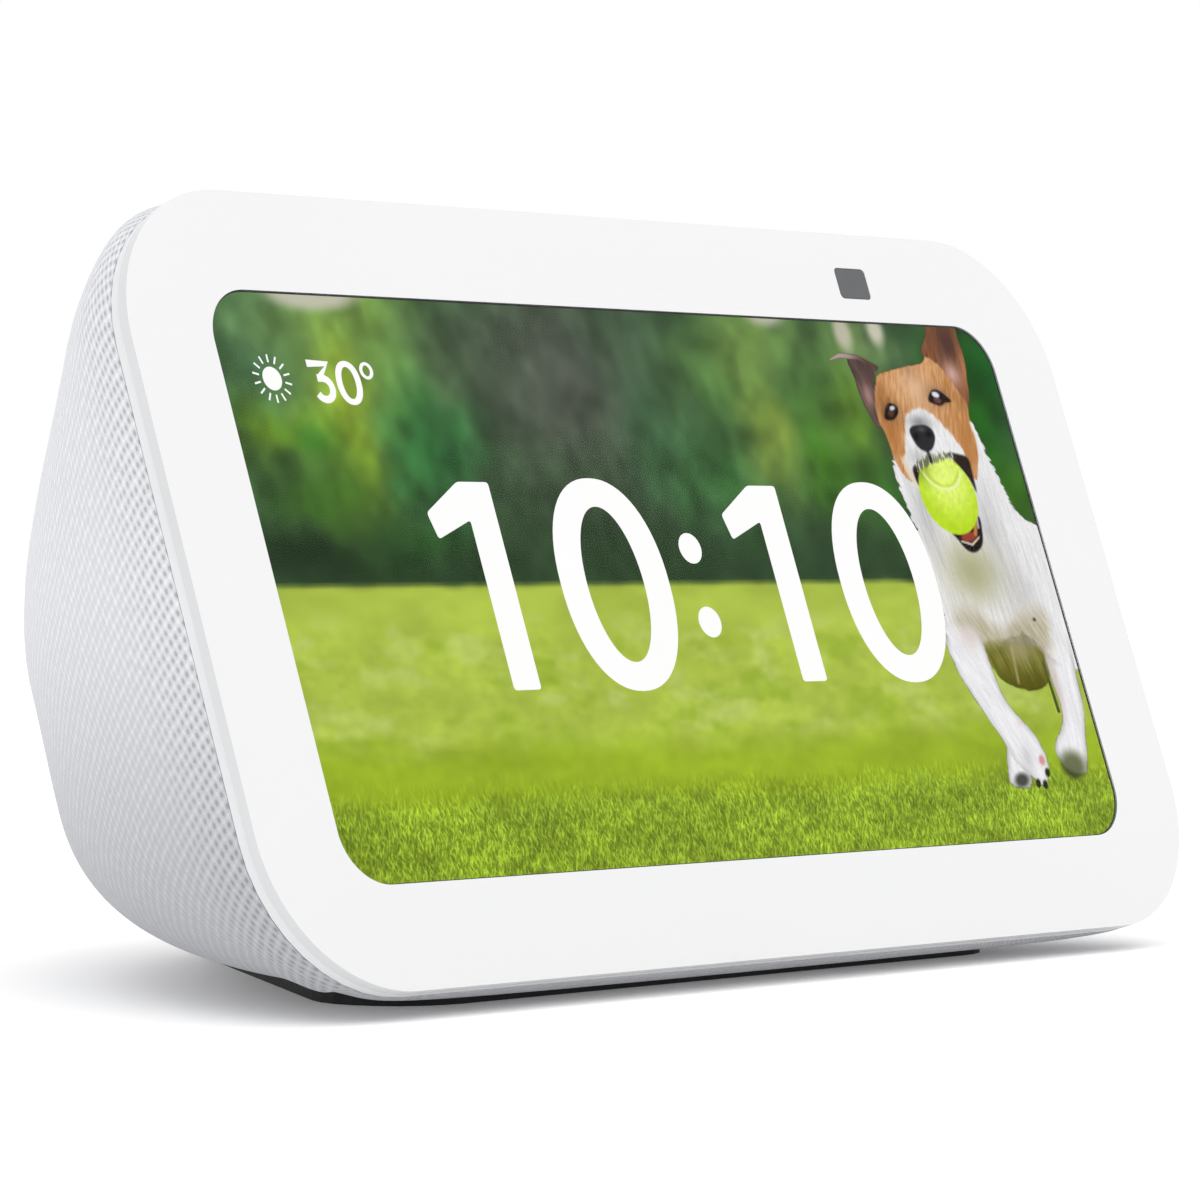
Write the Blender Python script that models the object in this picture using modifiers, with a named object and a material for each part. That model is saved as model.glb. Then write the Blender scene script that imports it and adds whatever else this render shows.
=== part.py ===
"""Smart speaker with a tilted touch display: a wedge-shaped fabric body behind a white glass front.

Units are metres, +Z is up, and the glass front looks towards -Y. The origin is the middle of the
footprint, on the table. Each real piece is one named object in the "smart_speaker" collection.
"""

import math

import bmesh
import bpy
from mathutils import Vector

# ---------------------------------------------------------------- driving dimensions

WIDTH = 0.147                 # across the glass
DEPTH = 0.091                 # from the glass's lower edge to the rearmost point
FACE_HEIGHT = 0.0841          # the glass, measured along its slope
FACE_TILT = math.radians(19.9)
FACE_RADIUS = 0.0165
GLASS_LIFT = 0.0030           # lower edge of the glass above the table
GAP = 0.0003                  # between pieces that touch

GLASS_THICKNESS = 0.0010
FRAME_SETBACK = 0.00015       # the frame and fabric stand this far inside the glass outline
FRAME_BACK = 0.0026           # depth of the frame's visible edge behind the glass front
SHELL_FRONT = FRAME_BACK + GAP
SKIRT_BACK = 0.0048
SKIRT_INSET = 0.0039
SKIRT_THICKNESS = 0.0010
SKIRT_RAISE = 0.0020          # the skirt's lower run stands this much further in

SCREEN_WIDTH = 0.125
SCREEN_HEIGHT = 0.0625
PANEL_SIDE_BORDER = 0.0020
PANEL_TOP_BORDER = 0.0016
PANEL_BOTTOM_BORDER = 0.0030
PANEL_THICKNESS = 0.0014
TRAY_THICKNESS = 0.0016

FABRIC_THICKNESS = 0.0009
SHELL_THICKNESS = 0.0016
BULGE_HEIGHT = 0.0308         # where the back's upper and lower curves meet
BULGE_BACK = 0.09039          # distance of that line behind the glass's lower edge
BULGE_HANDLE_UP = 0.0195      # how far the bulge's curve reaches up and down
BULGE_HANDLE_DOWN = 0.0160
TOP_FLAT = 0.0041             # flat run behind the frame on top
TOP_HANDLE = 0.0155
BOTTOM_FLAT = 0.0521          # flat run under the body
BOTTOM_HANDLE = 0.0309
UNDERSIDE_HEIGHT = 0.00373    # the flat underside above the table
UNDERSIDE_EASE = 0.0191       # the underside slopes down to the front edge over this run
LIP_DROP = 0.00124            # the fabric's front lip hangs this far below that slope
LIP_RUN = 0.0032              # the lip is lowest this far behind the front edge
LIP_END = 0.0110              # and has gone here
LIP_FADE = 0.0034             # how fast the lip fades up the sides
# Distances behind the front edge of the rows under the body.
UNDERSIDE_ROWS = (0.036, 0.019, 0.014, 0.011, 0.008, 0.0052, 0.0032, 0.0015, 0.0)
ROUNDNESS = 1.782             # superellipse exponent of the level sections
TOP_SQUARENESS = 1.45         # extra exponent at the top edge
TOP_SQUARENESS_REACH = 0.0024

# The foot is a trapezium, wide in front; front and back are distances behind the glass's lower edge.
FOOT_FRONT = 0.0099
FOOT_BACK = 0.0712
FOOT_FRONT_HALF_WIDTH = 0.0573    # where the sides would meet the front edge, were it not for the corner
FOOT_BACK_HALF_WIDTH = 0.0198
FOOT_FRONT_RADIUS = 0.0095
FOOT_BACK_RADIUS = 0.0020
FOOT_TOP = 0.0042
FOOT_TAPER = 0.0004
BASE_HALF_WIDTH = 0.0490
BASE_FRONT = 0.0085
BASE_BACK = 0.0635
BASE_CORNER = 0.0095
BASE_ROUNDNESS = 1.9
BASE_BOTTOM = 0.0050
BASE_THICKNESS = 0.0016

STRIP_LENGTH = 0.1005
STRIP_WIDTH = 0.0084
STRIP_PROUD = 0.0001
STRIP_THICKNESS = 0.0022
STRIP_DISTANCE = 0.0076       # middle of the strip behind the frame
BUTTON_LENGTH = 0.0125
BUTTON_WIDTH = 0.0046
BUTTON_PROUD = 0.0005
BUTTON_TRAVEL = 0.0005
BUTTON_X = {"mute": -0.038, "volume_down": -0.0125, "volume_up": 0.0055}
MICROPHONE_X = {"left": -0.0255, "right": 0.0190}

CAMERA_X = 0.04045            # middle of the camera window
CAMERA_BELOW_TOP = 0.00615    # middle of the window under the glass's upper edge
CAMERA_WINDOW_WIDTH = 0.0054
CAMERA_WINDOW_HEIGHT = 0.0038
SHUTTER_TRAVEL = 0.0070
SLIDER_LENGTH = 0.0060
SLIDER_WIDTH = 0.0032

INLET_HEIGHT = 0.020
INLET_SLEEVE_RADIUS = 0.0076
INLET_RECESS_RADIUS = 0.0058
JACK_FACE = 0.0800            # behind the glass's lower edge
JACK_LENGTH = 0.0102
JACK_WIDTH = 0.0090
JACK_BORE_RADIUS = 0.0032
JACK_PIN_RADIUS = 0.0009

BOX_HALF_WIDTH = 0.0265       # sealed speaker box
BOX_FRONT = 0.034
BOX_BACK = 0.066
BOX_BOTTOM = 0.0092
BOX_TOP = 0.0565
BOX_WALL = 0.0020
DRIVER_HEIGHT = 0.0325
DRIVER_FLANGE_RADIUS = 0.0240
DRIVER_SEAT_RADIUS = 0.0198   # hole in the speaker box
CONE_RADIUS = 0.0146
CONE_TRAVEL = 0.0015
SURROUND_RADIUS = 0.0188
DRIVER_BOLT_RADIUS = 0.0218

SCREW_SHANK_RADIUS = 0.0010
SCREW_HEAD_RADIUS = 0.0019
SCREW_HEAD_HEIGHT = 0.0009
SCREW_LENGTH = 0.0038

# ---------------------------------------------------------------- derived places

FRONT_Y = -DEPTH / 2
SIN_TILT = math.sin(FACE_TILT)
COS_TILT = math.cos(FACE_TILT)
SCREEN_MIDDLE = FACE_HEIGHT / 2
CAMERA_UP = FACE_HEIGHT - CAMERA_BELOW_TOP
DRIVER_Y = FRONT_Y + BOX_BACK + GAP

COLOURS = {
    "white_glass": ((0.89, 0.89, 0.89), 0.18, 0.0),
    "white_plastic": ((0.84, 0.84, 0.85), 0.42, 0.0),
    "fabric": ((0.74, 0.75, 0.77), 0.95, 0.0),
    "dark_rubber": ((0.03, 0.03, 0.033), 0.85, 0.0),
    "dark_plastic": ((0.05, 0.05, 0.055), 0.55, 0.0),
    "display": ((0.02, 0.05, 0.02), 0.25, 0.0),
    "lens": ((0.02, 0.02, 0.025), 0.1, 0.0),
    "board": ((0.02, 0.17, 0.08), 0.45, 0.0),
    "steel": ((0.56, 0.57, 0.58), 0.35, 1.0),
    "aluminium": ((0.78, 0.79, 0.80), 0.4, 1.0),
    "ferrite": ((0.08, 0.08, 0.085), 0.6, 0.0),
    "paper_cone": ((0.05, 0.05, 0.055), 0.9, 0.0),
    "ribbon": ((0.55, 0.28, 0.07), 0.4, 0.0),
}


# ---------------------------------------------------------------- scene and object helpers

def clear_scene():
    for item in list(bpy.data.objects):
        bpy.data.objects.remove(item)


def make_collection(name):
    collection = bpy.data.collections.new(name)
    bpy.context.scene.collection.children.link(collection)
    return collection


clear_scene()
PARTS = make_collection("smart_speaker")
CUTTERS = make_collection("cutters")


def make_material(name, look):
    colour, roughness, metallic = COLOURS[look]
    material = bpy.data.materials.new(name)
    material.use_nodes = True
    shader = material.node_tree.nodes["Principled BSDF"]
    shader.inputs["Base Color"].default_value = (*colour, 1.0)
    shader.inputs["Roughness"].default_value = roughness
    shader.inputs["Metallic"].default_value = metallic
    return material


def place(name, mesh, frame=None, smooth=False):
    """Put a mesh in the parts collection under its name, in a parent frame if one is given."""
    item = bpy.data.objects.new(name, mesh)
    PARTS.objects.link(item)
    item.parent = frame
    if smooth:
        mesh.shade_smooth()
        mesh.set_sharp_from_angle(angle=math.radians(40))
    return item


def finish_part(item, look):
    item.data.materials.clear()
    item.data.materials.append(make_material(item.name, look))
    return item


def as_cutter(item):
    PARTS.objects.unlink(item)
    CUTTERS.objects.link(item)
    item.hide_render = True
    item.display_type = "WIRE"
    return item


def boolean(target, other, operation):
    modifier = target.modifiers.new(operation.lower(), "BOOLEAN")
    modifier.operation = operation
    modifier.solver = "EXACT"
    modifier.object = as_cutter(other)


def cut(target, *cutters):
    for cutter in cutters:
        boolean(target, cutter, "DIFFERENCE")


def join(target, *others):
    for other in others:
        boolean(target, other, "UNION")


def bevel_edges(item, width, segments=2):
    modifier = item.modifiers.new("bevel", "BEVEL")
    modifier.width = width
    modifier.segments = segments
    modifier.limit_method = "ANGLE"
    modifier.angle_limit = math.radians(50)


def make_frame(name, location, rotation_x):
    frame = bpy.data.objects.new(name, None)
    PARTS.objects.link(frame)
    frame.location = location
    frame.rotation_euler = (rotation_x, 0, 0)
    return frame


# ---------------------------------------------------------------- outlines and solids

def arc(centre_x, centre_y, radius, start_degrees, end_degrees, steps):
    points = []
    for step in range(steps + 1):
        angle = math.radians(start_degrees + (end_degrees - start_degrees) * step / steps)
        points.append((centre_x + radius * math.cos(angle), centre_y + radius * math.sin(angle)))
    return points


def rounded_rectangle(width, height, radius, centre_x=0.0, centre_y=0.0, steps=8):
    across = width / 2 - radius
    up = height / 2 - radius
    corners = ((across, up, 0), (-across, up, 90), (-across, -up, 180), (across, -up, 270))
    points = []
    for x, y, start in corners:
        points += arc(centre_x + x, centre_y + y, radius, start, start + 90, steps)
    return points


def pill(length, width, centre_x=0.0, steps=8):
    reach = (length - width) / 2
    right = arc(centre_x + reach, 0, width / 2, -90, 90, steps)
    left = arc(centre_x - reach, 0, width / 2, 90, 270, steps)
    return right + left


def circle(radius, centre_x=0.0, centre_y=0.0, steps=24):
    return arc(centre_x, centre_y, radius, 0, 360, steps)[:-1]


def face_outline(inset, steps=8):
    """The glass's rounded outline, moved inwards, in the face frame."""
    return rounded_rectangle(WIDTH - 2 * inset, FACE_HEIGHT - 2 * inset, FACE_RADIUS - inset,
                             0, FACE_HEIGHT / 2, steps)


def base_outline(margin, steps=20):
    """The base plate's D shape grown by a margin: straight in front, round at the back."""
    half_width = BASE_HALF_WIDTH + margin
    corner = BASE_CORNER + margin
    shoulder = FRONT_Y + BASE_FRONT + BASE_CORNER
    reach = FRONT_Y + BASE_BACK + margin - shoulder
    points = arc(-half_width + corner, shoulder, corner, 180, 270, 6)
    points += arc(half_width - corner, shoulder, corner, 270, 360, 6)
    for step in range(1, steps):
        angle = math.pi * step / steps
        side = math.copysign(abs(math.cos(angle)) ** (2 / BASE_ROUNDNESS), math.cos(angle))
        back = math.sin(angle) ** (2 / BASE_ROUNDNESS)
        points.append((half_width * side, shoulder + reach * back))
    return points


def foot_outline(margin, steps=8):
    """The foot's rounded trapezium grown by a margin."""
    front = FRONT_Y + FOOT_FRONT
    back = FRONT_Y + FOOT_BACK
    corners = ((-FOOT_FRONT_HALF_WIDTH, front, FOOT_FRONT_RADIUS), (FOOT_FRONT_HALF_WIDTH, front, FOOT_FRONT_RADIUS),
               (FOOT_BACK_HALF_WIDTH, back, FOOT_BACK_RADIUS), (-FOOT_BACK_HALF_WIDTH, back, FOOT_BACK_RADIUS))
    points = []
    for index, (x, y, radius) in enumerate(corners):
        corner = Vector((x, y))
        before = (Vector(corners[index - 1][:2]) - corner).normalized()
        after = (Vector(corners[(index + 1) % 4][:2]) - corner).normalized()
        half_angle = before.angle(after) / 2
        centre = corner + (before + after).normalized() * (radius / math.sin(half_angle))
        spoke = corner + before * (radius / math.tan(half_angle)) - centre
        start = math.degrees(math.atan2(spoke.y, spoke.x))
        sweep = 180 - 2 * math.degrees(half_angle)
        points += arc(centre.x, centre.y, radius + margin, start, start + sweep, steps)
    return points


def prism(name, outline, low, high, frame=None, top_outline=None):
    """A flat outline in XY, raised from low to high; the top may have an outline of its own."""
    shape = bmesh.new()
    bottom = [shape.verts.new((x, y, low)) for x, y in outline]
    shape.faces.new(bottom)
    extruded = bmesh.ops.extrude_face_region(shape, geom=shape.faces[:])
    raised = [item for item in extruded["geom"] if isinstance(item, bmesh.types.BMVert)]
    bmesh.ops.translate(shape, verts=raised, vec=(0, 0, high - low))
    if top_outline is not None:
        for vert in raised:
            distances = [math.hypot(x - vert.co.x, y - vert.co.y) for x, y in outline]
            vert.co.x, vert.co.y = top_outline[distances.index(min(distances))]
    bmesh.ops.recalc_face_normals(shape, faces=shape.faces[:])
    mesh = bpy.data.meshes.new(name)
    shape.to_mesh(mesh)
    shape.free()
    return place(name, mesh, frame)


def box(name, low, high, frame=None):
    shape = bmesh.new()
    bmesh.ops.create_cube(shape, size=1.0)
    size = [high[axis] - low[axis] for axis in range(3)]
    middle = [(high[axis] + low[axis]) / 2 for axis in range(3)]
    bmesh.ops.scale(shape, verts=shape.verts[:], vec=size)
    bmesh.ops.translate(shape, verts=shape.verts[:], vec=middle)
    mesh = bpy.data.meshes.new(name)
    shape.to_mesh(mesh)
    shape.free()
    return place(name, mesh, frame)


def turned(name, profile, frame, steps=24):
    """A closed profile of (radius, height) points, turned about the frame's Z axis."""
    mesh = bpy.data.meshes.new(name)
    points = [(radius, 0, height) for radius, height in profile]
    edges = [(index, (index + 1) % len(points)) for index in range(len(points))]
    edges = [(start, end) for start, end in edges if profile[start][0] > 0 or profile[end][0] > 0]
    mesh.from_pydata(points, edges, [])
    item = place(name, mesh, frame)
    modifier = item.modifiers.new("turn", "SCREW")
    modifier.axis = "Z"
    modifier.steps = steps
    modifier.render_steps = steps
    modifier.use_merge_vertices = True
    modifier.merge_threshold = 0.00001
    return item


def cylinder(name, radius, low, high, frame=None, steps=24):
    return prism(name, circle(radius, steps=steps), low, high, frame)


def smooth_route(points, steps_per_span):
    """A Catmull-Rom curve through a cable's own points."""
    spline = [Vector(point) for point in points]
    spline = [2 * spline[0] - spline[1]] + spline + [2 * spline[-1] - spline[-2]]
    route = []
    for before, start, end, after in zip(spline, spline[1:], spline[2:], spline[3:]):
        for step in range(steps_per_span):
            t = step / steps_per_span
            route.append(0.5 * (2 * start + (end - before) * t
                                + (2 * before - 5 * start + 4 * end - after) * t ** 2
                                + (3 * start - before - 3 * end + after) * t ** 3))
    route.append(spline[-2])
    return route


def cable(name, points, radius):
    curve = bpy.data.curves.new(name, "CURVE")
    curve.dimensions = "3D"
    curve.bevel_depth = radius
    curve.bevel_resolution = 2
    curve.use_fill_caps = True
    route = smooth_route(points, 4)
    spline = curve.splines.new("POLY")
    spline.points.add(len(route) - 1)
    for target, point in zip(spline.points, route):
        target.co = (*point, 1)
    item = bpy.data.objects.new(name, curve)
    PARTS.objects.link(item)
    return item


# ---------------------------------------------------------------- the body's surface

def bezier(start, handle_a, handle_b, end, steps):
    points = []
    for step in range(steps + 1):
        t = step / steps
        weights = ((1 - t) ** 3, 3 * t * (1 - t) ** 2, 3 * t ** 2 * (1 - t), t ** 3)
        corners = (start, handle_a, handle_b, end)
        points.append(tuple(sum(weight * corner[axis] for weight, corner in zip(weights, corners))
                            for axis in range(2)))
    return points


def ease(value):
    """A smooth step from 0 to 1."""
    share = min(max(value, 0.0), 1.0)
    return share * share * (3 - 2 * share)


def slope_distance(height):
    """Distance up the face of the front edge of the body at this height."""
    return (height - GLASS_LIFT + SHELL_FRONT * SIN_TILT) / COS_TILT


def front_edge(height, inset):
    """Half width of the body's front edge at a height, and its Y."""
    setback = FRAME_SETBACK + inset
    radius = FACE_RADIUS - setback
    along = min(max(slope_distance(height), setback), FACE_HEIGHT - setback)
    corner = max(0.0, along - (FACE_HEIGHT - setback - radius), setback + radius - along)
    corner = min(corner, radius)
    half_width = WIDTH / 2 - setback - radius + math.sqrt(radius ** 2 - corner ** 2)
    return half_width, FRONT_Y + along * SIN_TILT + SHELL_FRONT * COS_TILT


def height_limits(inset):
    setback = FRAME_SETBACK + inset
    drop = SHELL_FRONT * SIN_TILT
    top = GLASS_LIFT + (FACE_HEIGHT - setback) * COS_TILT - drop
    bottom = GLASS_LIFT + setback * COS_TILT - drop
    return top, bottom


def back_profile(inset, upper_steps, lower_steps):
    """The back's side profile: (distance behind the front edge, height), from top to bottom."""
    top, bottom = height_limits(inset)
    bulge = FRONT_Y + BULGE_BACK - inset - front_edge(BULGE_HEIGHT, inset)[1]
    upper = bezier((TOP_FLAT, top), (TOP_FLAT + TOP_HANDLE - inset, top),
                   (bulge, BULGE_HEIGHT + BULGE_HANDLE_UP), (bulge, BULGE_HEIGHT), upper_steps)
    flat = BOTTOM_FLAT - inset
    level = UNDERSIDE_HEIGHT + inset
    lower = bezier((bulge, BULGE_HEIGHT), (bulge, BULGE_HEIGHT - BULGE_HANDLE_DOWN),
                   (flat + BOTTOM_HANDLE, level), (flat, level), lower_steps)
    underside = [(distance, bottom + (level - bottom) * ease(distance / UNDERSIDE_EASE))
                 for distance in UNDERSIDE_ROWS]
    return [(0.0, top)] + upper + lower[1:] + underside


def lip_drop(distance, height, inset):
    """How far the front lip hangs below the smooth underside, this far behind the front edge."""
    bottom = height_limits(inset)[1]
    rise = math.sin(min(distance / LIP_RUN, 1.0) * math.pi / 2)
    fade = 1 - ease((distance - LIP_RUN) / (LIP_END - LIP_RUN))
    return LIP_DROP * rise * fade * math.exp(-max(height - bottom, 0.0) / LIP_FADE)


def level_section(distance, height, inset, across):
    """A superellipse arch from the left front edge round the back to the right one."""
    half_width, front = front_edge(height, inset)
    top = height_limits(inset)[0]
    exponent = ROUNDNESS + TOP_SQUARENESS * math.exp((height - top) / TOP_SQUARENESS_REACH)
    points = []
    for step in range(across + 1):
        angle = math.pi * step / across
        side = math.copysign(abs(math.cos(angle)) ** (2 / exponent), math.cos(angle))
        back = abs(math.sin(angle)) ** (2 / exponent)
        if step in (0, across):
            back = 0.0
        behind = distance * back
        points.append((-half_width * side, front + behind, height - lip_drop(behind, height, inset)))
    return points


def body_shell(name, outer_inset, thickness, across, upper_steps, lower_steps):
    """A closed shell between two insets of the body's surface, open towards the face."""
    shape = bmesh.new()
    skins = []
    for inset in (outer_inset, outer_inset + thickness):
        rows = []
        for distance, height in back_profile(inset, upper_steps, lower_steps):
            section = level_section(distance, height, inset, across)
            rows.append([shape.verts.new(point) for point in section])
        skins.append(rows)
    for rows in skins:
        for upper, lower in zip(rows, rows[1:]):
            for column in range(across):
                corners = (upper[column], lower[column], lower[column + 1], upper[column + 1])
                shape.faces.new(corners if rows is skins[0] else corners[::-1])
    rims = []
    for rows in skins:
        left = [row[0] for row in rows]
        right = [row[-1] for row in rows[::-1]]
        rims.append(left[:-1] + rows[-1][:-1] + right[:-1] + rows[0][:0:-1])
    for index in range(len(rims[0])):
        following = (index + 1) % len(rims[0])
        shape.faces.new((rims[0][index], rims[1][index], rims[1][following], rims[0][following]))
    bmesh.ops.recalc_face_normals(shape, faces=shape.faces[:])
    mesh = bpy.data.meshes.new(name)
    shape.to_mesh(mesh)
    shape.free()
    return place(name, mesh, smooth=True)


def strip_seat():
    """Place and slope of the surface under the middle of the button strip."""
    profile = back_profile(0.0, 60, 12)
    for (near, near_height), (far, far_height) in zip(profile, profile[1:]):
        if far >= STRIP_DISTANCE:
            break
    share = (STRIP_DISTANCE - near) / (far - near)
    height = near_height + (far_height - near_height) * share
    near_y = front_edge(near_height, 0.0)[1] + near
    far_y = front_edge(far_height, 0.0)[1] + far
    y = near_y + (far_y - near_y) * share
    return (0.0, y, height), math.atan2(far_height - near_height, far_y - near_y)


# The face frame: X to the right, Y up the slope, Z out of the glass, origin on its lower edge.
FACE = make_frame("face_frame", (0, FRONT_Y, GLASS_LIFT), math.pi / 2 - FACE_TILT)
STRIP_PLACE, STRIP_SLOPE = strip_seat()
# The strip frame: X to the right, Y backwards along the top, Z out of the body.
STRIP = make_frame("strip_frame", STRIP_PLACE, STRIP_SLOPE)
# The driver frame: Z along the driver's axis, backwards, origin on the speaker box's back wall.
DRIVER = make_frame("driver_frame", (0, DRIVER_Y, DRIVER_HEIGHT), -math.pi / 2)
# The inlet frame: Z backwards out of the power inlet, origin on the jack's mouth.
INLET = make_frame("inlet_frame", (0, FRONT_Y + JACK_FACE, INLET_HEIGHT), -math.pi / 2)


# ---------------------------------------------------------------- front: glass, display, frame

def build_cover_glass():
    glass = prism("cover_glass", face_outline(0, steps=10), -GLASS_THICKNESS, 0, FACE)
    bevel_edges(glass, 0.0002, 1)
    finish_part(glass, "white_glass")


def build_display():
    half_width = SCREEN_WIDTH / 2 + PANEL_SIDE_BORDER
    low = SCREEN_MIDDLE - SCREEN_HEIGHT / 2 - PANEL_BOTTOM_BORDER
    high = SCREEN_MIDDLE + SCREEN_HEIGHT / 2 + PANEL_TOP_BORDER
    front = -GLASS_THICKNESS - GAP
    back = front - PANEL_THICKNESS
    middle = (low + high) / 2
    outline = rounded_rectangle(2 * half_width, high - low, 0.005, 0, middle, 5)
    finish_part(prism("display_panel", outline, back, front, FACE), "display")
    tray_front = back - GAP
    tray_back = tray_front - TRAY_THICKNESS
    outline = rounded_rectangle(2 * half_width + 0.0006, high - low, 0.007, 0, middle, 5)
    finish_part(prism("backlight_tray", outline, tray_back, tray_front, FACE), "steel")
    return low, high, half_width, tray_back


def skirt_outline(inset):
    height = FACE_HEIGHT - 2 * inset - SKIRT_RAISE
    return rounded_rectangle(WIDTH - 2 * inset, height, FACE_RADIUS - inset, 0,
                             (FACE_HEIGHT + SKIRT_RAISE) / 2)


def build_front_frame(low, high, half_width):
    ledge_front = -GLASS_THICKNESS - GAP
    frame = prism("front_frame", face_outline(FRAME_SETBACK, steps=10), -FRAME_BACK, ledge_front, FACE)
    skirt = prism("frame_skirt", skirt_outline(SKIRT_INSET), -SKIRT_BACK, -FRAME_BACK + GAP, FACE)
    join(frame, skirt)
    hollow = prism("skirt_hollow", skirt_outline(SKIRT_INSET + SKIRT_THICKNESS), -SKIRT_BACK - 0.001,
                   -FRAME_BACK, FACE)
    window = box("display_window", (-half_width - 2 * GAP, low - 2 * GAP, -0.004),
                 (half_width + 2 * GAP, high + GAP, 0.001), FACE)
    camera_bay = box("camera_bay", (CAMERA_X - 0.0052, CAMERA_UP - 0.0026, -0.007),
                     (CAMERA_X + 0.0132, CAMERA_UP + 0.0027, 0.0), FACE)
    cut(frame, hollow, window, camera_bay)
    finish_part(frame, "white_plastic")


def build_display_bracket(high, tray_back):
    front = tray_back - GAP
    bracket = prism("display_bracket",
                    rounded_rectangle(0.128, 0.064, 0.008, 0, high - 0.033, 4),
                    front - 0.0010, front, FACE)
    middle = high - 0.033
    windows = []
    for x in (-0.042, 0.0, 0.042):
        window = rounded_rectangle(0.030, 0.022, 0.002, x, middle + 0.014, 4)
        windows.append(prism("bracket_window", window, front - 0.002, front + 0.001, FACE))
    slot = rounded_rectangle(0.022, 0.012, 0.001, 0, RIBBON_MIDDLE, 2)
    windows.append(prism("ribbon_window", slot, front - 0.002, front + 0.001, FACE))
    cut(bracket, *windows)
    finish_part(bracket, "steel")


RIBBON_MIDDLE = 0.021          # up the face
SPREADER_DEPTH = 0.0064
BOARD_DEPTH = 0.0082
BOARD_THICKNESS = 0.0012


def build_electronics():
    spreader = prism("heat_spreader", rounded_rectangle(0.090, 0.030, 0.002, 0, 0.048, 3),
                     -SPREADER_DEPTH - 0.0008, -SPREADER_DEPTH, FACE)
    finish_part(spreader, "aluminium")
    back = -BOARD_DEPTH - BOARD_THICKNESS
    board = prism("main_board", rounded_rectangle(0.104, 0.052, 0.002, 0, 0.040, 3),
                  back, -BOARD_DEPTH, FACE)
    notches = [cylinder("board_hole", 0.0014, back - 0.001, -BOARD_DEPTH + 0.001, FACE, 12)
               for _ in range(4)]
    corners = [(x, y) for x in (-0.0485, 0.0485) for y in (0.0175, 0.0625)]
    for notch, (x, y) in zip(notches, corners):
        notch.location = (x, y, 0)
    cut(board, *notches)
    finish_part(board, "board")
    shield = box("shield_can", (-0.026, 0.036, back - GAP - 0.0022), (0.014, 0.062, back - GAP), FACE)
    bevel_edges(shield, 0.0004, 1)
    finish_part(shield, "steel")
    antenna = box("wifi_antenna", (-0.062, 0.0695, -BOARD_DEPTH - 0.0006),
                  (-0.036, 0.0745, -BOARD_DEPTH), FACE)
    finish_part(antenna, "ribbon")


def build_display_ribbon(tray_back):
    """A flat cable that folds from the back of the backlight tray to the main board."""
    start = -tray_back + GAP
    bend = (BOARD_DEPTH - GAP - start) / 2
    path = [(RIBBON_MIDDLE + 0.004, start)]
    for step in range(9):
        angle = math.pi * step / 8
        path.append((RIBBON_MIDDLE - 0.001 - bend * math.sin(angle), start + bend - bend * math.cos(angle)))
    path.append((RIBBON_MIDDLE + 0.004, BOARD_DEPTH - GAP))
    mesh = bpy.data.meshes.new("display_ribbon")
    points = []
    for up, depth in path:
        points += [(-0.007, up, -depth), (0.007, up, -depth)]
    faces = [(2 * i, 2 * i + 1, 2 * i + 3, 2 * i + 2) for i in range(len(path) - 1)]
    mesh.from_pydata(points, [], faces)
    ribbon = place("display_ribbon", mesh, FACE)
    modifier = ribbon.modifiers.new("thickness", "SOLIDIFY")
    modifier.thickness = 0.0002
    modifier.offset = -1
    finish_part(ribbon, "ribbon")


# ---------------------------------------------------------------- camera and its shutter

BLADE_FRONT = GLASS_THICKNESS + GAP
BLADE_THICKNESS = 0.0004


def build_camera():
    module_front = -BLADE_FRONT - BLADE_THICKNESS - GAP
    half = 0.0030
    module = box("camera_module", (CAMERA_X - half, CAMERA_UP - 0.0021, module_front - 0.0026),
                 (CAMERA_X + half, CAMERA_UP + 0.0014, module_front - 0.0004), FACE)
    barrel = cylinder("camera_barrel", 0.0017, module_front - 0.001, module_front, FACE, 20)
    barrel.location = (CAMERA_X, CAMERA_UP, 0)
    aperture = cylinder("camera_aperture", 0.0009, module_front - 0.0005, module_front + 0.001, FACE, 16)
    aperture.location = (CAMERA_X, CAMERA_UP, 0)
    join(module, barrel)
    cut(module, aperture)
    finish_part(module, "lens")


def build_shutter():
    """The blade rests to the right of the lens and slides left over it with the slider."""
    left = CAMERA_X + CAMERA_WINDOW_WIDTH / 2 + 0.0007
    right = left + 0.0072
    low = CAMERA_UP - 0.0022
    high = CAMERA_UP + 0.0023
    blade = box("shutter_blade", (left, low, -BLADE_FRONT - BLADE_THICKNESS), (right, high, -BLADE_FRONT), FACE)
    tab = box("blade_tab", (right - 0.0022, high - 0.0006, -0.0058), (right, high, -BLADE_FRONT - 0.0001), FACE)
    join(blade, tab)
    finish_part(blade, "dark_plastic")


def slider_rest_x():
    return CAMERA_X + SHUTTER_TRAVEL / 2


def build_slider():
    x = slider_rest_x()
    top = STRIP_PROUD + 0.0009
    knob = prism("shutter_slider", pill(SLIDER_LENGTH, SLIDER_WIDTH, x), -STRIP_THICKNESS - 2 * GAP, top, STRIP)
    foot = box("slider_foot", (x - 0.0040, -0.0026, -STRIP_THICKNESS - 2 * GAP - 0.0006),
               (x + 0.0040, 0.0026, -STRIP_THICKNESS - GAP), STRIP)
    finger = box("slider_finger", (x - 0.0012, -0.0038, -STRIP_THICKNESS - 0.0030),
                 (x + 0.0012, -0.0016, -STRIP_THICKNESS - 2 * GAP), STRIP)
    groove = box("slider_groove", (x - 0.0003, -0.004, top - 0.0004), (x + 0.0003, 0.004, top + 0.001), STRIP)
    join(knob, foot, finger)
    cut(knob, groove)
    finish_part(knob, "white_plastic")


# ---------------------------------------------------------------- top: strip, buttons, switches

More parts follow.
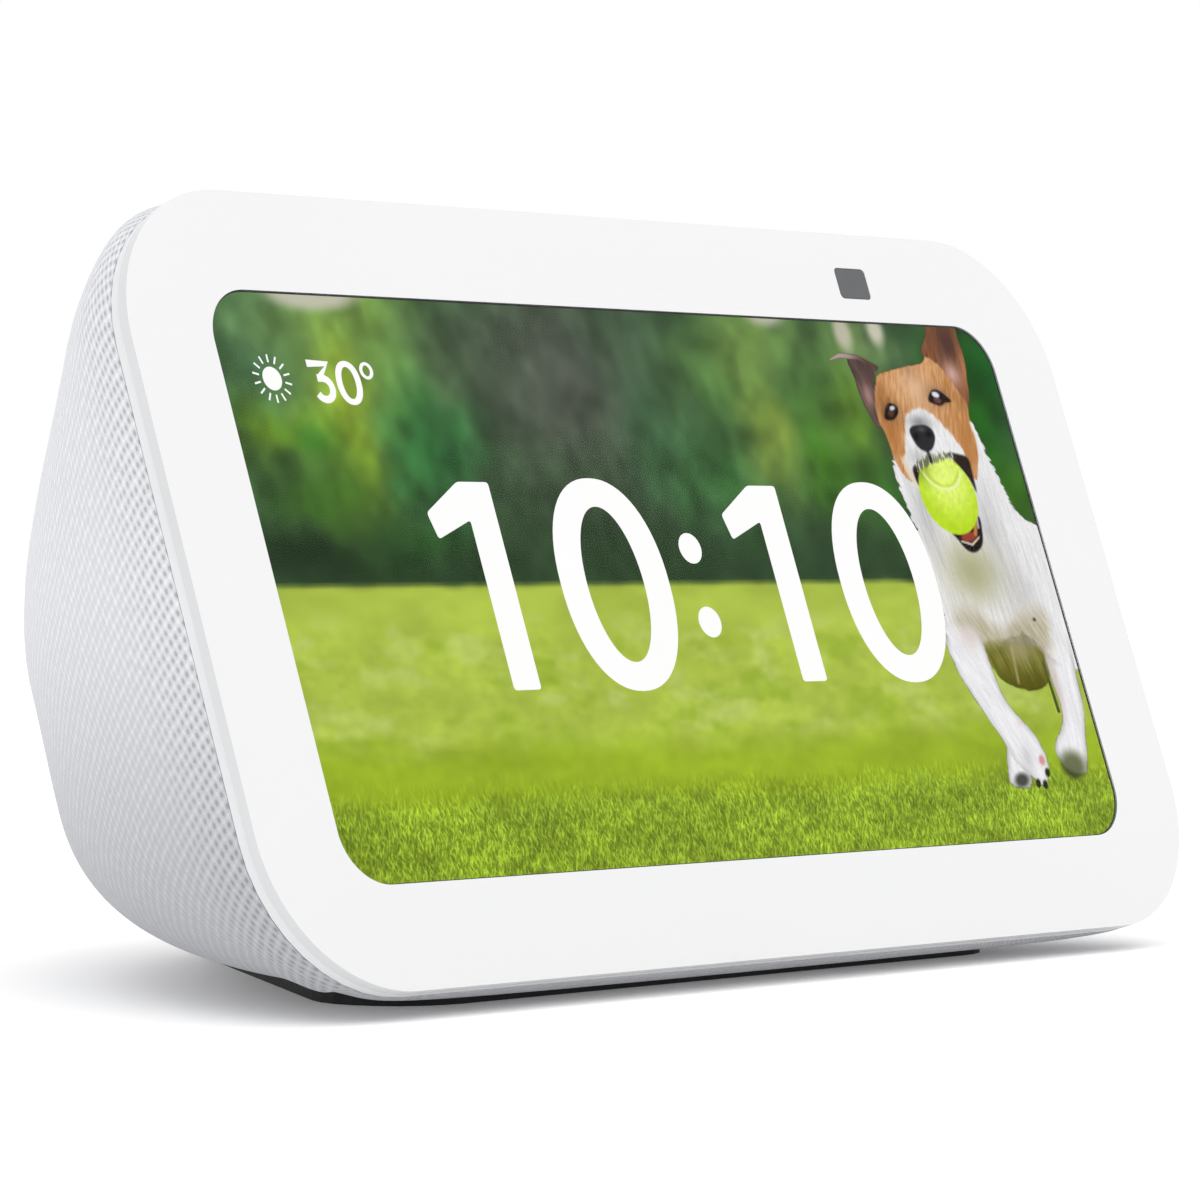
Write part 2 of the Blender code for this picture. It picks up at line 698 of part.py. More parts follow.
SWITCH_HEIGHT = 0.0014
FLANGE_BOTTOM = STRIP_THICKNESS + GAP + 0.0006
SWITCH_TOP = FLANGE_BOTTOM + BUTTON_TRAVEL + GAP
BOARD_TOP = SWITCH_TOP + SWITCH_HEIGHT + GAP


def build_button_strip():
    strip = prism("button_strip", pill(STRIP_LENGTH, STRIP_WIDTH, steps=10), -STRIP_THICKNESS, STRIP_PROUD, STRIP)
    openings = []
    for name, x in BUTTON_X.items():
        hole = pill(BUTTON_LENGTH + 2 * GAP, BUTTON_WIDTH + 2 * GAP, x)
        openings.append(prism(name + "_hole", hole, -0.004, 0.002, STRIP))
    slot = pill(SLIDER_LENGTH + SHUTTER_TRAVEL + 2 * GAP, SLIDER_WIDTH + 2 * GAP, CAMERA_X)
    openings.append(prism("slider_slot", slot, -0.004, 0.002, STRIP))
    for name, x in MICROPHONE_X.items():
        hole = cylinder(name + "_sound_hole", 0.0006, -0.004, 0.002, STRIP, 10)
        hole.location = (x, 0, 0)
        hole.rotation_euler = (0, 0, math.radians(11))
        openings.append(hole)
    cut(strip, *openings)
    finish_part(strip, "white_plastic")


def build_button(name, x):
    """A pill-shaped key whose wide foot keeps it in the strip; its origin is on its own axis."""
    axis = make_frame(name + "_axis", (x, 0, 0), 0)
    axis.parent = STRIP
    key = prism(name + "_button", pill(BUTTON_LENGTH, BUTTON_WIDTH), -STRIP_THICKNESS - 2 * GAP,
                STRIP_PROUD + BUTTON_PROUD, axis)
    flange = prism(name + "_flange", pill(BUTTON_LENGTH + 0.0016, BUTTON_WIDTH + 0.0016), -FLANGE_BOTTOM,
                   -STRIP_THICKNESS - GAP, axis)
    join(key, flange)
    bevel_edges(key, 0.0003, 1)
    finish_part(key, "white_plastic")
    switch = prism(name + "_switch", circle(0.0016, x, 0, 16), -SWITCH_TOP - SWITCH_HEIGHT, -SWITCH_TOP, STRIP)
    finish_part(switch, "steel")


def build_button_board():
    board = box("button_board", (-0.049, -0.0022, -BOARD_TOP - 0.0008), (0.0345, 0.0036, -BOARD_TOP), STRIP)
    finish_part(board, "board")
    for name, x in MICROPHONE_X.items():
        capsule = box("microphone_" + name, (x - 0.0014, -0.0011, -BOARD_TOP + GAP),
                      (x + 0.0014, 0.0011, -BOARD_TOP + GAP + 0.0010), STRIP)
        finish_part(capsule, "steel")


# ---------------------------------------------------------------- body: shell, fabric, base, foot

def strip_cutter(name):
    return prism(name, pill(STRIP_LENGTH + 2 * GAP, STRIP_WIDTH + 2 * GAP, steps=10), -0.006, 0.004, STRIP)


def inlet_cutter(name):
    return cylinder(name, INLET_SLEEVE_RADIUS + GAP, -0.004, 0.015, INLET, 32)


def build_fabric_cover():
    fabric = body_shell("fabric_cover", 0.0, FABRIC_THICKNESS, across=30, upper_steps=10, lower_steps=7)
    foot_hole = prism("foot_hole", foot_outline(GAP), 0.0, 0.008)
    cut(fabric, foot_hole, strip_cutter("fabric_strip_hole"), inlet_cutter("fabric_inlet_hole"))
    finish_part(fabric, "fabric")


def build_rear_shell():
    shell = body_shell("rear_shell", FABRIC_THICKNESS + GAP, SHELL_THICKNESS, across=24,
                       upper_steps=8, lower_steps=6)
    base_hole = prism("base_hole", base_outline(GAP), 0.0, 0.010)
    cut(shell, base_hole, strip_cutter("shell_strip_hole"), inlet_cutter("shell_inlet_hole"))
    pitch = 0.0052
    for column in range(-3, 4):
        reach = math.sqrt(SURROUND_RADIUS ** 2 - (column * pitch) ** 2)
        sound_slot = box("sound_slot", (column * pitch - 0.0011, DRIVER_Y + 0.006, DRIVER_HEIGHT + 0.0005 - 0.6 * reach),
                         (column * pitch + 0.0011, FRONT_Y + DEPTH + 0.004, DRIVER_HEIGHT + reach))
        if abs(column) < 2:
            sound_slot.location.z += 0.004
        cut(shell, sound_slot)
    finish_part(shell, "white_plastic")


def base_screw_places():
    return [(x, FRONT_Y + y) for y in (0.0185, 0.0445) for x in (-0.0235, 0.0235)]


def build_base():
    low = BASE_BOTTOM
    high = low + BASE_THICKNESS
    plate = prism("base_plate", base_outline(0.0), low, high)
    for x, y in base_screw_places():
        hole = cylinder("base_screw_hole", SCREW_SHANK_RADIUS + GAP, 0.0, 0.02, None, 16)
        recess = cylinder("base_screw_recess", SCREW_HEAD_RADIUS + GAP, 0.0, low + SCREW_HEAD_HEIGHT, None, 16)
        for cutter in (hole, recess):
            cutter.location = (x, y, 0)
        cut(plate, hole, recess)
    finish_part(plate, "dark_plastic")
    foot = prism("foot_pad", foot_outline(-FOOT_TAPER), 0.0, FOOT_TOP, None, foot_outline(0.0))
    finish_part(foot, "dark_rubber")
    ballast = box("ballast_plate", (-0.030, FRONT_Y + 0.0135, high + GAP), (0.030, FRONT_Y + 0.0315, high + GAP + 0.0032))
    for x, y in base_screw_places()[:2]:
        hole = cylinder("ballast_hole", SCREW_SHANK_RADIUS + GAP, 0.0, 0.02, None, 16)
        hole.location = (x, y, 0)
        cut(ballast, hole)
    bevel_edges(ballast, 0.0004, 1)
    finish_part(ballast, "steel")


def build_screw(name, frame, location, point_up):
    """Cross-recess screw along the frame's Z; its head's outer face is at the location."""
    direction = 1 if point_up else -1
    head_low, head_high = sorted((0.0, direction * SCREW_HEAD_HEIGHT))
    shank_low, shank_high = sorted((direction * SCREW_HEAD_HEIGHT * 0.5, direction * SCREW_LENGTH))
    screw = cylinder(name, SCREW_HEAD_RADIUS, head_low, head_high, frame, 16)
    shank = cylinder(name + "_shank", SCREW_SHANK_RADIUS, shank_low, shank_high, frame, 12)
    pieces = [screw, shank]
    join(screw, shank)
    for size in ((0.0012, 0.0003), (0.0003, 0.0012)):
        slot = box(name + "_recess", (-size[0], -size[1], -direction * 0.001 - 0.0005),
                   (size[0], size[1], -direction * 0.001 + 0.0005), frame)
        slot.location = (0, 0, direction * 0.0009)
        pieces.append(slot)
        cut(screw, slot)
    for piece in pieces:
        piece.location = Vector(location) + Vector(piece.location)
    finish_part(screw, "steel")


def build_base_screws():
    for number, (x, y) in enumerate(base_screw_places(), start=1):
        build_screw(f"base_screw_{number}", None, (x, y, BASE_BOTTOM), True)


# ---------------------------------------------------------------- speaker

def build_speaker_box():
    low = (-BOX_HALF_WIDTH, FRONT_Y + BOX_FRONT, BOX_BOTTOM)
    high = (BOX_HALF_WIDTH, FRONT_Y + BOX_BACK, BOX_TOP)
    enclosure = box("speaker_box", low, high)
    hollow = box("speaker_box_hollow", [value + BOX_WALL for value in low], [value - BOX_WALL for value in high])
    seat = cylinder("driver_seat", DRIVER_SEAT_RADIUS, -0.004, 0.002, DRIVER, 32)
    cable_hole = cylinder("cable_hole", 0.0014, 0, 0.006, None, 12)
    cable_hole.rotation_euler = (math.pi / 2, 0, 0)
    cable_hole.location = (CABLE_X, FRONT_Y + BOX_FRONT + 0.004, CABLE_HOLE_HEIGHT)
    for x, y in base_screw_places()[2:]:
        boss = cylinder("box_boss", 0.0030, BASE_BOTTOM + BASE_THICKNESS + GAP, BOX_BOTTOM + 0.0005, None, 16)
        boss.location = (x, y, 0)
        join(enclosure, boss)
    cut(enclosure, hollow, seat, cable_hole)
    for x, y in base_screw_places()[2:]:
        hole = cylinder("boss_hole", SCREW_SHANK_RADIUS + GAP, 0.0, BOX_BOTTOM + 0.0008, None, 12)
        hole.location = (x, y, 0)
        cut(enclosure, hole)
    for x, z in driver_screw_places():
        hole = cylinder("driver_screw_hole", SCREW_SHANK_RADIUS + GAP, -0.004, 0.002, DRIVER, 12)
        hole.location = (x, z, 0)
        cut(enclosure, hole)
    finish_part(enclosure, "dark_plastic")


def driver_screw_places():
    diagonal = DRIVER_BOLT_RADIUS / math.sqrt(2)
    return [(x, z) for z in (-diagonal, diagonal) for x in (-diagonal, diagonal)]


FLANGE_THICKNESS = 0.0016
BASKET_DEPTH = 0.0125
MOTOR_RADIUS = 0.0135
COIL_RADIUS = 0.0066
COIL_THICKNESS = 0.0005
POLE_RADIUS = 0.0061
MAGNET_HEIGHT = 0.0080


def build_driver():
    rim = FLANGE_THICKNESS
    ledge = SURROUND_RADIUS + GAP
    basket = turned("speaker_basket", [
        (DRIVER_FLANGE_RADIUS, rim), (DRIVER_FLANGE_RADIUS, 0.0), (DRIVER_SEAT_RADIUS - GAP, 0.0),
        (DRIVER_SEAT_RADIUS - GAP, -0.003), (MOTOR_RADIUS, -BASKET_DEPTH), (0.0078, -BASKET_DEPTH),
        (0.0078, -BASKET_DEPTH + 0.001), (MOTOR_RADIUS - 0.0008, -BASKET_DEPTH + 0.001),
        (0.0172, -0.0026), (0.0172, -0.0002), (ledge, -0.0002), (ledge, rim)], DRIVER)
    for x, z in driver_screw_places():
        hole = cylinder("basket_screw_hole", SCREW_SHANK_RADIUS + GAP, -0.001, 0.003, DRIVER, 12)
        hole.location = (x, z, 0)
        cut(basket, hole)
    for step in range(4):
        vent = box("basket_vent", (-0.0030, 0.0120, -0.0100), (0.0030, 0.0220, -0.0045), DRIVER)
        vent.rotation_euler = (0, 0, math.pi / 2 * step)
        cut(basket, vent)
    finish_part(basket, "steel")
    magnet_top = -BASKET_DEPTH - GAP
    magnet_low = magnet_top - MAGNET_HEIGHT
    magnet = turned("speaker_magnet", [
        (MOTOR_RADIUS, magnet_top), (MOTOR_RADIUS, magnet_low), (0.0076, magnet_low), (0.0076, magnet_top)], DRIVER)
    finish_part(magnet, "ferrite")
    yoke_low = magnet_low - GAP - 0.0015
    pole = turned("speaker_yoke", [
        (0.0, magnet_top), (POLE_RADIUS, magnet_top), (POLE_RADIUS, magnet_low - GAP), (MOTOR_RADIUS, magnet_low - GAP),
        (MOTOR_RADIUS, yoke_low), (0.0, yoke_low)], DRIVER)
    finish_part(pole, "steel")


def build_cone():
    """Paper cone with its voice-coil former; both move along the driver's axis."""
    edge = CONE_RADIUS
    coil_out = COIL_RADIUS + COIL_THICKNESS
    cone = turned("speaker_cone", [
        (edge, 0.0008), (edge, 0.0002), (coil_out, -0.0068), (coil_out, -0.0148), (COIL_RADIUS, -0.0148),
        (COIL_RADIUS, -0.0064), (edge - 0.0006, 0.0008)], DRIVER)
    finish_part(cone, "paper_cone")
    cap = bmesh.new()
    bmesh.ops.create_uvsphere(cap, u_segments=24, v_segments=12, radius=0.0062)
    bmesh.ops.bisect_plane(cap, geom=cap.verts[:] + cap.edges[:] + cap.faces[:], plane_co=(0, 0, 0.0022),
                           plane_no=(0, 0, 1), clear_inner=True)
    bmesh.ops.holes_fill(cap, edges=[edge for edge in cap.edges if edge.is_boundary])
    bmesh.ops.scale(cap, verts=cap.verts[:], vec=(1, 1, 0.5))
    bmesh.ops.translate(cap, verts=cap.verts[:], vec=(0, 0, -0.0070))
    bmesh.ops.recalc_face_normals(cap, faces=cap.faces[:])
    mesh = bpy.data.meshes.new("dust_cap")
    cap.to_mesh(mesh)
    cap.free()
    finish_part(place("dust_cap", mesh, DRIVER), "paper_cone")
    middle = (CONE_RADIUS + SURROUND_RADIUS) / 2
    roll = 0.0014
    profile = [(SURROUND_RADIUS, 0.0001), (SURROUND_RADIUS, 0.0005)]
    profile += arc(middle, 0.0005, roll, 0, 180, 5)
    profile += [(CONE_RADIUS + 0.0004, 0.0005), (CONE_RADIUS + 0.0004, 0.0001)]
    profile += arc(middle, 0.0001, roll - 0.0004, 180, 0, 5)
    surround = turned("speaker_surround", profile[::-1], DRIVER)
    finish_part(surround, "dark_rubber")


def build_driver_screws():
    for number, (x, z) in enumerate(driver_screw_places(), start=1):
        location = (x, z, FLANGE_THICKNESS + GAP + SCREW_HEAD_HEIGHT)
        build_screw(f"speaker_screw_{number}", DRIVER, location, False)


# ---------------------------------------------------------------- power inlet and cables

def build_inlet():
    sleeve = cylinder("inlet_sleeve", INLET_SLEEVE_RADIUS, -0.0015, 0.012, INLET, 32)
    bore = cylinder("sleeve_bore", INLET_RECESS_RADIUS, GAP, 0.015, INLET, 32)
    pocket = box("sleeve_pocket", (-JACK_WIDTH / 2 - GAP, -JACK_WIDTH / 2 - GAP, -0.003),
                 (JACK_WIDTH / 2 + GAP, JACK_WIDTH / 2 + GAP, 0.001), INLET)
    mouth = box("sleeve_mouth", (-0.02, -0.02, 0.0), (0.02, 0.02, 0.02), INLET)
    mouth.location = (0, 0, 0.0072)
    mouth.rotation_euler = (FACE_TILT * -1, 0, 0)
    cut(sleeve, bore, pocket, mouth)
    finish_part(sleeve, "white_plastic")
    half = JACK_WIDTH / 2
    jack = box("power_jack", (-half, -half, -JACK_LENGTH), (half, half, 0.0), INLET)
    socket = cylinder("jack_socket", JACK_BORE_RADIUS, -JACK_LENGTH + 0.0015, 0.001, INLET, 24)
    pin = cylinder("jack_pin", JACK_PIN_RADIUS, -JACK_LENGTH + 0.0005, -0.0008, INLET, 12)
    cut(jack, socket)
    join(jack, pin)
    finish_part(jack, "dark_plastic")


CABLE_X = 0.020
CABLE_HOLE_HEIGHT = 0.0500
CABLE_RADIUS = 0.0008


def face_point(x, up, depth):
    """World position of a point given in the face's terms."""
    return (x, FRONT_Y + up * SIN_TILT + depth * COS_TILT, GLASS_LIFT + up * COS_TILT - depth * SIN_TILT)


def build_cables():
    board_back = BOARD_DEPTH + BOARD_THICKNESS + GAP + CABLE_RADIUS
    speaker_cable = cable("speaker_cable", [
        (CABLE_X - 0.0045, FRONT_Y + BOX_BACK - 0.0065, DRIVER_HEIGHT + 0.0150),
        (CABLE_X - 0.001, FRONT_Y + BOX_FRONT + 0.018, CABLE_HOLE_HEIGHT - 0.0005),
        (CABLE_X, FRONT_Y + BOX_FRONT + 0.006, CABLE_HOLE_HEIGHT),
        (CABLE_X, FRONT_Y + BOX_FRONT - 0.002, CABLE_HOLE_HEIGHT),
        face_point(CABLE_X + 0.003, 0.052, board_back + 0.0012),
        face_point(CABLE_X + 0.010, 0.050, board_back)], CABLE_RADIUS)
    finish_part(speaker_cable, "dark_rubber")
    route_y = FRONT_Y + BOX_BACK + 0.0045
    power_cable = cable("power_cable", [
        (JACK_WIDTH / 2 + GAP + CABLE_RADIUS + 0.0004, FRONT_Y + JACK_FACE - 0.0085, INLET_HEIGHT - 0.002),
        (0.0120, route_y, INLET_HEIGHT - 0.003),
        (0.0280, route_y - 0.001, INLET_HEIGHT - 0.004),
        (0.0330, FRONT_Y + BOX_BACK - 0.010, INLET_HEIGHT - 0.004),
        (0.0330, FRONT_Y + BOX_FRONT, INLET_HEIGHT - 0.003),
        face_point(0.0330, 0.0240, board_back + 0.003),
        face_point(0.0330, 0.0300, board_back)], CABLE_RADIUS)
    finish_part(power_cable, "dark_rubber")


# ---------------------------------------------------------------- assembly

def build_all():
    build_cover_glass()
    low, high, half_width, tray_back = build_display()
    build_front_frame(low, high, half_width)
    build_display_bracket(high, tray_back)
    build_electronics()
    build_display_ribbon(tray_back)
    build_camera()
    build_shutter()
    build_slider()
    build_button_strip()
    for name, x in BUTTON_X.items():
        build_button(name, x)
    build_button_board()
    build_fabric_cover()
    build_rear_shell()
    build_base()
    build_base_screws()
    build_speaker_box()
    build_driver()
    build_cone()
    build_driver_screws()
    build_inlet()
    build_cables()


build_all()
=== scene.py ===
"""Looks of the smart speaker: glass front and picture, knitted cover, materials and a plain studio."""

import math

import bmesh
import bpy
import numpy as np
from mathutils import Matrix, Vector


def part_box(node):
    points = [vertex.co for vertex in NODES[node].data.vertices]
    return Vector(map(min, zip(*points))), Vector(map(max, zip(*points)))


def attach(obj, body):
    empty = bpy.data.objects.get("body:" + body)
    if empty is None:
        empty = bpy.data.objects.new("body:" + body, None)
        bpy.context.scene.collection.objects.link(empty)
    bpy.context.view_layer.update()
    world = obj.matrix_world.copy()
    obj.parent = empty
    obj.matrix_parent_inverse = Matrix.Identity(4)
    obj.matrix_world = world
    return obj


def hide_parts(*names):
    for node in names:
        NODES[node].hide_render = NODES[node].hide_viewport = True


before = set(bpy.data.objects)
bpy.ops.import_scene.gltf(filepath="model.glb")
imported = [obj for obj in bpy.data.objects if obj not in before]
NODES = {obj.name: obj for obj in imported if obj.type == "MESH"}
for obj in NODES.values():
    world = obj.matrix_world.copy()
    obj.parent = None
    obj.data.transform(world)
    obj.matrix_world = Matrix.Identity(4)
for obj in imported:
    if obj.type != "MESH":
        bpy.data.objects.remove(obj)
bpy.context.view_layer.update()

MM = 0.001

# ---------------------------------------------------------------- sizes shared with the CAD part

WIDTH = 0.147
FRONT_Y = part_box("cover_glass")[0].y
FACE_HEIGHT = 0.0841
FACE_TILT = math.radians(19.9)
FACE_RADIUS = 0.0165
GLASS_LIFT = 0.0030
GAP = 0.0003
FRAME_SETBACK = 0.00015
FRAME_BACK = 0.0026
SHELL_FRONT = FRAME_BACK + 0.00004    # the knit meets the frame
FABRIC_THICKNESS = 0.0009
BULGE_HEIGHT = 0.0308
BULGE_BACK = 0.09039
BULGE_HANDLE_UP = 0.0195
BULGE_HANDLE_DOWN = 0.0160
TOP_FLAT = 0.0041
TOP_HANDLE = 0.0155
BOTTOM_FLAT = 0.0521
BOTTOM_HANDLE = 0.0309
UNDERSIDE_HEIGHT = 0.00373
UNDERSIDE_EASE = 0.0191
LIP_DROP = 0.00124
LIP_RUN = 0.0032
LIP_END = 0.0110
LIP_FADE = 0.0034
ROUNDNESS = 1.782
TOP_SQUARENESS = 1.45
TOP_SQUARENESS_REACH = 0.0024
FOOT_FRONT = 0.0099
FOOT_BACK = 0.0712
FOOT_FRONT_HALF_WIDTH = 0.0573
FOOT_BACK_HALF_WIDTH = 0.0198
FOOT_FRONT_RADIUS = 0.0095
FOOT_BACK_RADIUS = 0.0020
STRIP_LENGTH = 0.1005
STRIP_WIDTH = 0.0084
STRIP_PLACE = Vector((0, -0.006734, 0.080576))
STRIP_SLOPE = -math.asin(0.17932)
INLET_PLACE = Vector((0, 0.0345, 0.020))
INLET_SLEEVE_RADIUS = 0.0076
CAMERA_X = 0.04045
CAMERA_BELOW_TOP = 0.00615

SIN_TILT = math.sin(FACE_TILT)
COS_TILT = math.cos(FACE_TILT)

# ---------------------------------------------------------------- sizes of the fine pieces

SCREEN_WIDTH = 0.125
SCREEN_HEIGHT = 0.0625
SCREEN_RADIUS = 0.0057
SCREEN_MIDDLE = FACE_HEIGHT / 2
BEZEL_BACK = 0.00127          # the glass's edge reaches back to the frame's shoulder
BEZEL_FILLET = 0.00022
PANE_BACK = 0.00022
LINER_BACK = 0.00036
LINER_WIDTH = 0.00014
PICTURE_DEPTH = 0.00034
DOG_DEPTH = 0.00031
SIGN_DEPTH = 0.00028
WINDOW_WIDTH = 0.0054
WINDOW_HEIGHT = 0.0038
WINDOW_RADIUS = 0.0006
WINDOW_CLEARANCE = 0.00012
WINDOW_BACK = 0.0006
WINDOW_SINK = 0.00006         # under the glass's face
BORDER_WIDTH = 0.00022
BORDER_BACK = 0.0007
BORDER_SINK = 0.00009
CLEARANCE = 0.00001           # between the pieces of the glass front
EDGE_MARGIN = 3e-5            # a point this near the glass's outline is on it


# ---------------------------------------------------------------- places

def face_matrix():
    """X to the right, Y up the slope, Z out of the glass, origin on the glass's lower edge."""
    return Matrix.Translation((0, FRONT_Y, GLASS_LIFT)) @ Matrix.Rotation(math.pi / 2 - FACE_TILT, 4, "X")


def strip_matrix():
    """X to the right, Y backwards along the top, Z out of the body."""
    return Matrix.Translation(STRIP_PLACE) @ Matrix.Rotation(STRIP_SLOPE, 4, "X")


def inlet_matrix():
    """Z backwards out of the power inlet."""
    return Matrix.Translation(INLET_PLACE) @ Matrix.Rotation(-math.pi / 2, 4, "X")


FACE = face_matrix()
STRIP = strip_matrix()
INLET = inlet_matrix()


# ---------------------------------------------------------------- shader graphs

class Look:
    """A material and short ways to add nodes to it; self.surface is its Principled BSDF."""

    def __init__(self, name, **sockets):
        self.material = bpy.data.materials.new(name)
        self.material.use_nodes = True
        self.tree = self.material.node_tree
        self.surface = self.tree.nodes["Principled BSDF"]
        for socket, value in sockets.items():
            self.surface.inputs[socket.replace("_", " ")].default_value = value

    def add(self, kind, inputs=None, output=0, **settings):
        node = self.tree.nodes.new(kind)
        for setting, value in settings.items():
            setattr(node, setting, value)
        for socket, value in (inputs or {}).items():
            if isinstance(value, bpy.types.NodeSocket):
                self.tree.links.new(value, node.inputs[socket])
            else:
                node.inputs[socket].default_value = value
        return node.outputs[output]

    def drive(self, socket, value):
        self.tree.links.new(value, self.surface.inputs[socket])

    def math(self, operation, first, second=0.0, third=0.0):
        return self.add("ShaderNodeMath", {0: first, 1: second, 2: third}, operation=operation)

    def spread(self, value, low, high, to_low=0.0, to_high=1.0):
        """Map a value from one range to another, clamped, with soft ends."""
        inputs = {"Value": value, "From Min": low, "From Max": high, "To Min": to_low, "To Max": to_high}
        return self.add("ShaderNodeMapRange", inputs, interpolation_type="SMOOTHSTEP")

    def mix(self, factor, first, second, blend="MIX"):
        inputs = {"Factor": factor, 6: first, 7: second}
        return self.add("ShaderNodeMix", inputs, output=2, data_type="RGBA", blend_type=blend)

    def noise(self, vector, scale, detail=2.0, roughness=0.5, output=0):
        inputs = {"Vector": vector, "Scale": scale, "Detail": detail, "Roughness": roughness}
        return self.add("ShaderNodeTexNoise", inputs, output=output)

    def stretched(self, vector, scale):
        return self.add("ShaderNodeVectorMath", {0: vector, 1: scale}, operation="MULTIPLY")

    def dot(self, vector, direction):
        return self.add("ShaderNodeVectorMath", {0: vector, 1: direction}, output=1, operation="DOT_PRODUCT")

    def place(self):
        """The surface's place on the object, in metres."""
        return self.add("ShaderNodeTexCoord", output=3)

    def uv(self, name):
        return self.add("ShaderNodeUVMap", uv_map=name)

    def attribute(self, name, output=0):
        return self.add("ShaderNodeAttribute", output=output, attribute_name=name, attribute_type="GEOMETRY")

    def bump(self, height, strength, distance):
        inputs = {"Height": height, "Strength": strength, "Distance": distance}
        self.drive("Normal", self.add("ShaderNodeBump", inputs))


def rgb(red, green, blue):
    """A display colour, 0 to 255, as the linear colour that a shader takes."""
    channels = []
    for channel in (red, green, blue):
        value = channel / 255
        channels.append(value / 12.92 if value <= 0.04045 else ((value + 0.055) / 1.055) ** 2.4)
    return (*channels, 1.0)


def tint(colour, factor):
    return (*(channel * factor for channel in colour[:3]), 1.0)


def moulded(name, colour, roughness, grain=2600.0, relief=0.02, variation=0.03, **sockets):
    """Moulded plastic or rubber: a fine spark-eroded grain and slow changes in tone and gloss."""
    look = Look(name, **sockets)
    place = look.place()
    slow = look.noise(place, 55.0, 3.0)
    fine = look.noise(place, grain, 3.0, 0.6)
    look.drive("Base Color", look.mix(slow, tint(colour, 1 - variation), tint(colour, 1 + variation)))
    look.drive("Roughness", look.spread(fine, 0.3, 0.7, roughness - 0.05, roughness + 0.07))
    look.bump(fine, relief * 10, 0.00002)
    return look.material


def brushed_metal(name, colour, roughness):
    look = Look(name, Metallic=1.0)
    streaks = look.noise(look.stretched(look.place(), (60.0, 2400.0, 2400.0)), 1.0, 3.0)
    look.drive("Base Color", look.mix(streaks, tint(colour, 0.9), tint(colour, 1.05)))
    look.drive("Roughness", look.spread(streaks, 0.3, 0.7, roughness - 0.07, roughness + 0.1))
    look.bump(streaks, 0.15, 0.00002)
    return look.material


def circuit_board(name):
    look = Look(name, Roughness=0.4, Coat_Weight=0.4, Coat_Roughness=0.15)
    place = look.place()
    cells = look.add("ShaderNodeTexVoronoi", {"Vector": place, "Scale": 420.0}, distance="MANHATTAN")
    tracks = look.spread(look.math("PINGPONG", cells, 0.09), 0.03, 0.05)
    patches = look.spread(look.noise(place, 130.0), 0.48, 0.52)
    colour = look.mix(look.math("MULTIPLY", tracks, patches), (0.006, 0.075, 0.03, 1), (0.02, 0.16, 0.06, 1))
    look.drive("Base Color", colour)
    look.bump(tracks, 0.2, 0.00003)
    return look.material


def coated_paper(name):
    look = Look(name, Roughness=0.85)
    fibres = look.noise(look.place(), 1500.0, 5.0, 0.7)
    look.drive("Base Color", look.mix(fibres, (0.018, 0.018, 0.02, 1), (0.06, 0.06, 0.065, 1)))
    look.bump(fibres, 0.4, 0.00008)
    return look.material


def flex_circuit(name):
    look = Look(name, Roughness=0.35)
    lanes = look.math("PINGPONG", look.math("MULTIPLY", look.dot(look.place(), (1, 0, 0)), 900.0), 0.5)
    copper = look.spread(lanes, 0.2, 0.3)
    look.drive("Base Color", look.mix(copper, (0.36, 0.14, 0.03, 1), (0.62, 0.33, 0.09, 1)))
    look.bump(lanes, 0.2, 0.00003)
    return look.material


# ---------------------------------------------------------------- mesh helpers

def as_piece(name, mesh, matrix=None, material=None, body="housing", smooth_angle=None):
    """A new piece that rides on a body; its mesh is given in a local frame's coordinates."""
    if matrix is not None:
        mesh.transform(matrix)
    if smooth_angle is not None:
        mesh.shade_smooth()
        mesh.set_sharp_from_angle(angle=math.radians(smooth_angle))
    piece = bpy.data.objects.new(name, mesh)
    bpy.context.scene.collection.objects.link(piece)
    if material is not None:
        mesh.materials.clear()
        mesh.materials.append(material)
    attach(piece, body)
    return piece


def apply_modifiers(item):
    graph = bpy.context.evaluated_depsgraph_get()
    mesh = bpy.data.meshes.new_from_object(item.evaluated_get(graph))
    item.modifiers.clear()
    item.data = mesh
    return item


def arc(centre_x, centre_y, radius, start_degrees, end_degrees, steps):
    angles = np.radians(np.linspace(start_degrees, end_degrees, steps + 1))
    return [(centre_x + radius * math.cos(a), centre_y + radius * math.sin(a)) for a in angles]


def rounded_rectangle(width, height, radius, centre_x=0.0, centre_y=0.0, steps=14):
    across = width / 2 - radius
    up = height / 2 - radius
    points = []
    for x, y, start in ((across, up, 0), (-across, up, 90), (-across, -up, 180), (across, -up, 270)):
        points += arc(centre_x + x, centre_y + y, radius, start, start + 90, steps)
    return points


def pill(length, width, centre_x=0.0, steps=14):
    reach = (length - width) / 2
    right = arc(centre_x + reach, 0, width / 2, -90, 90, steps)
    left = arc(centre_x - reach, 0, width / 2, 90, 270, steps)
    return right + left


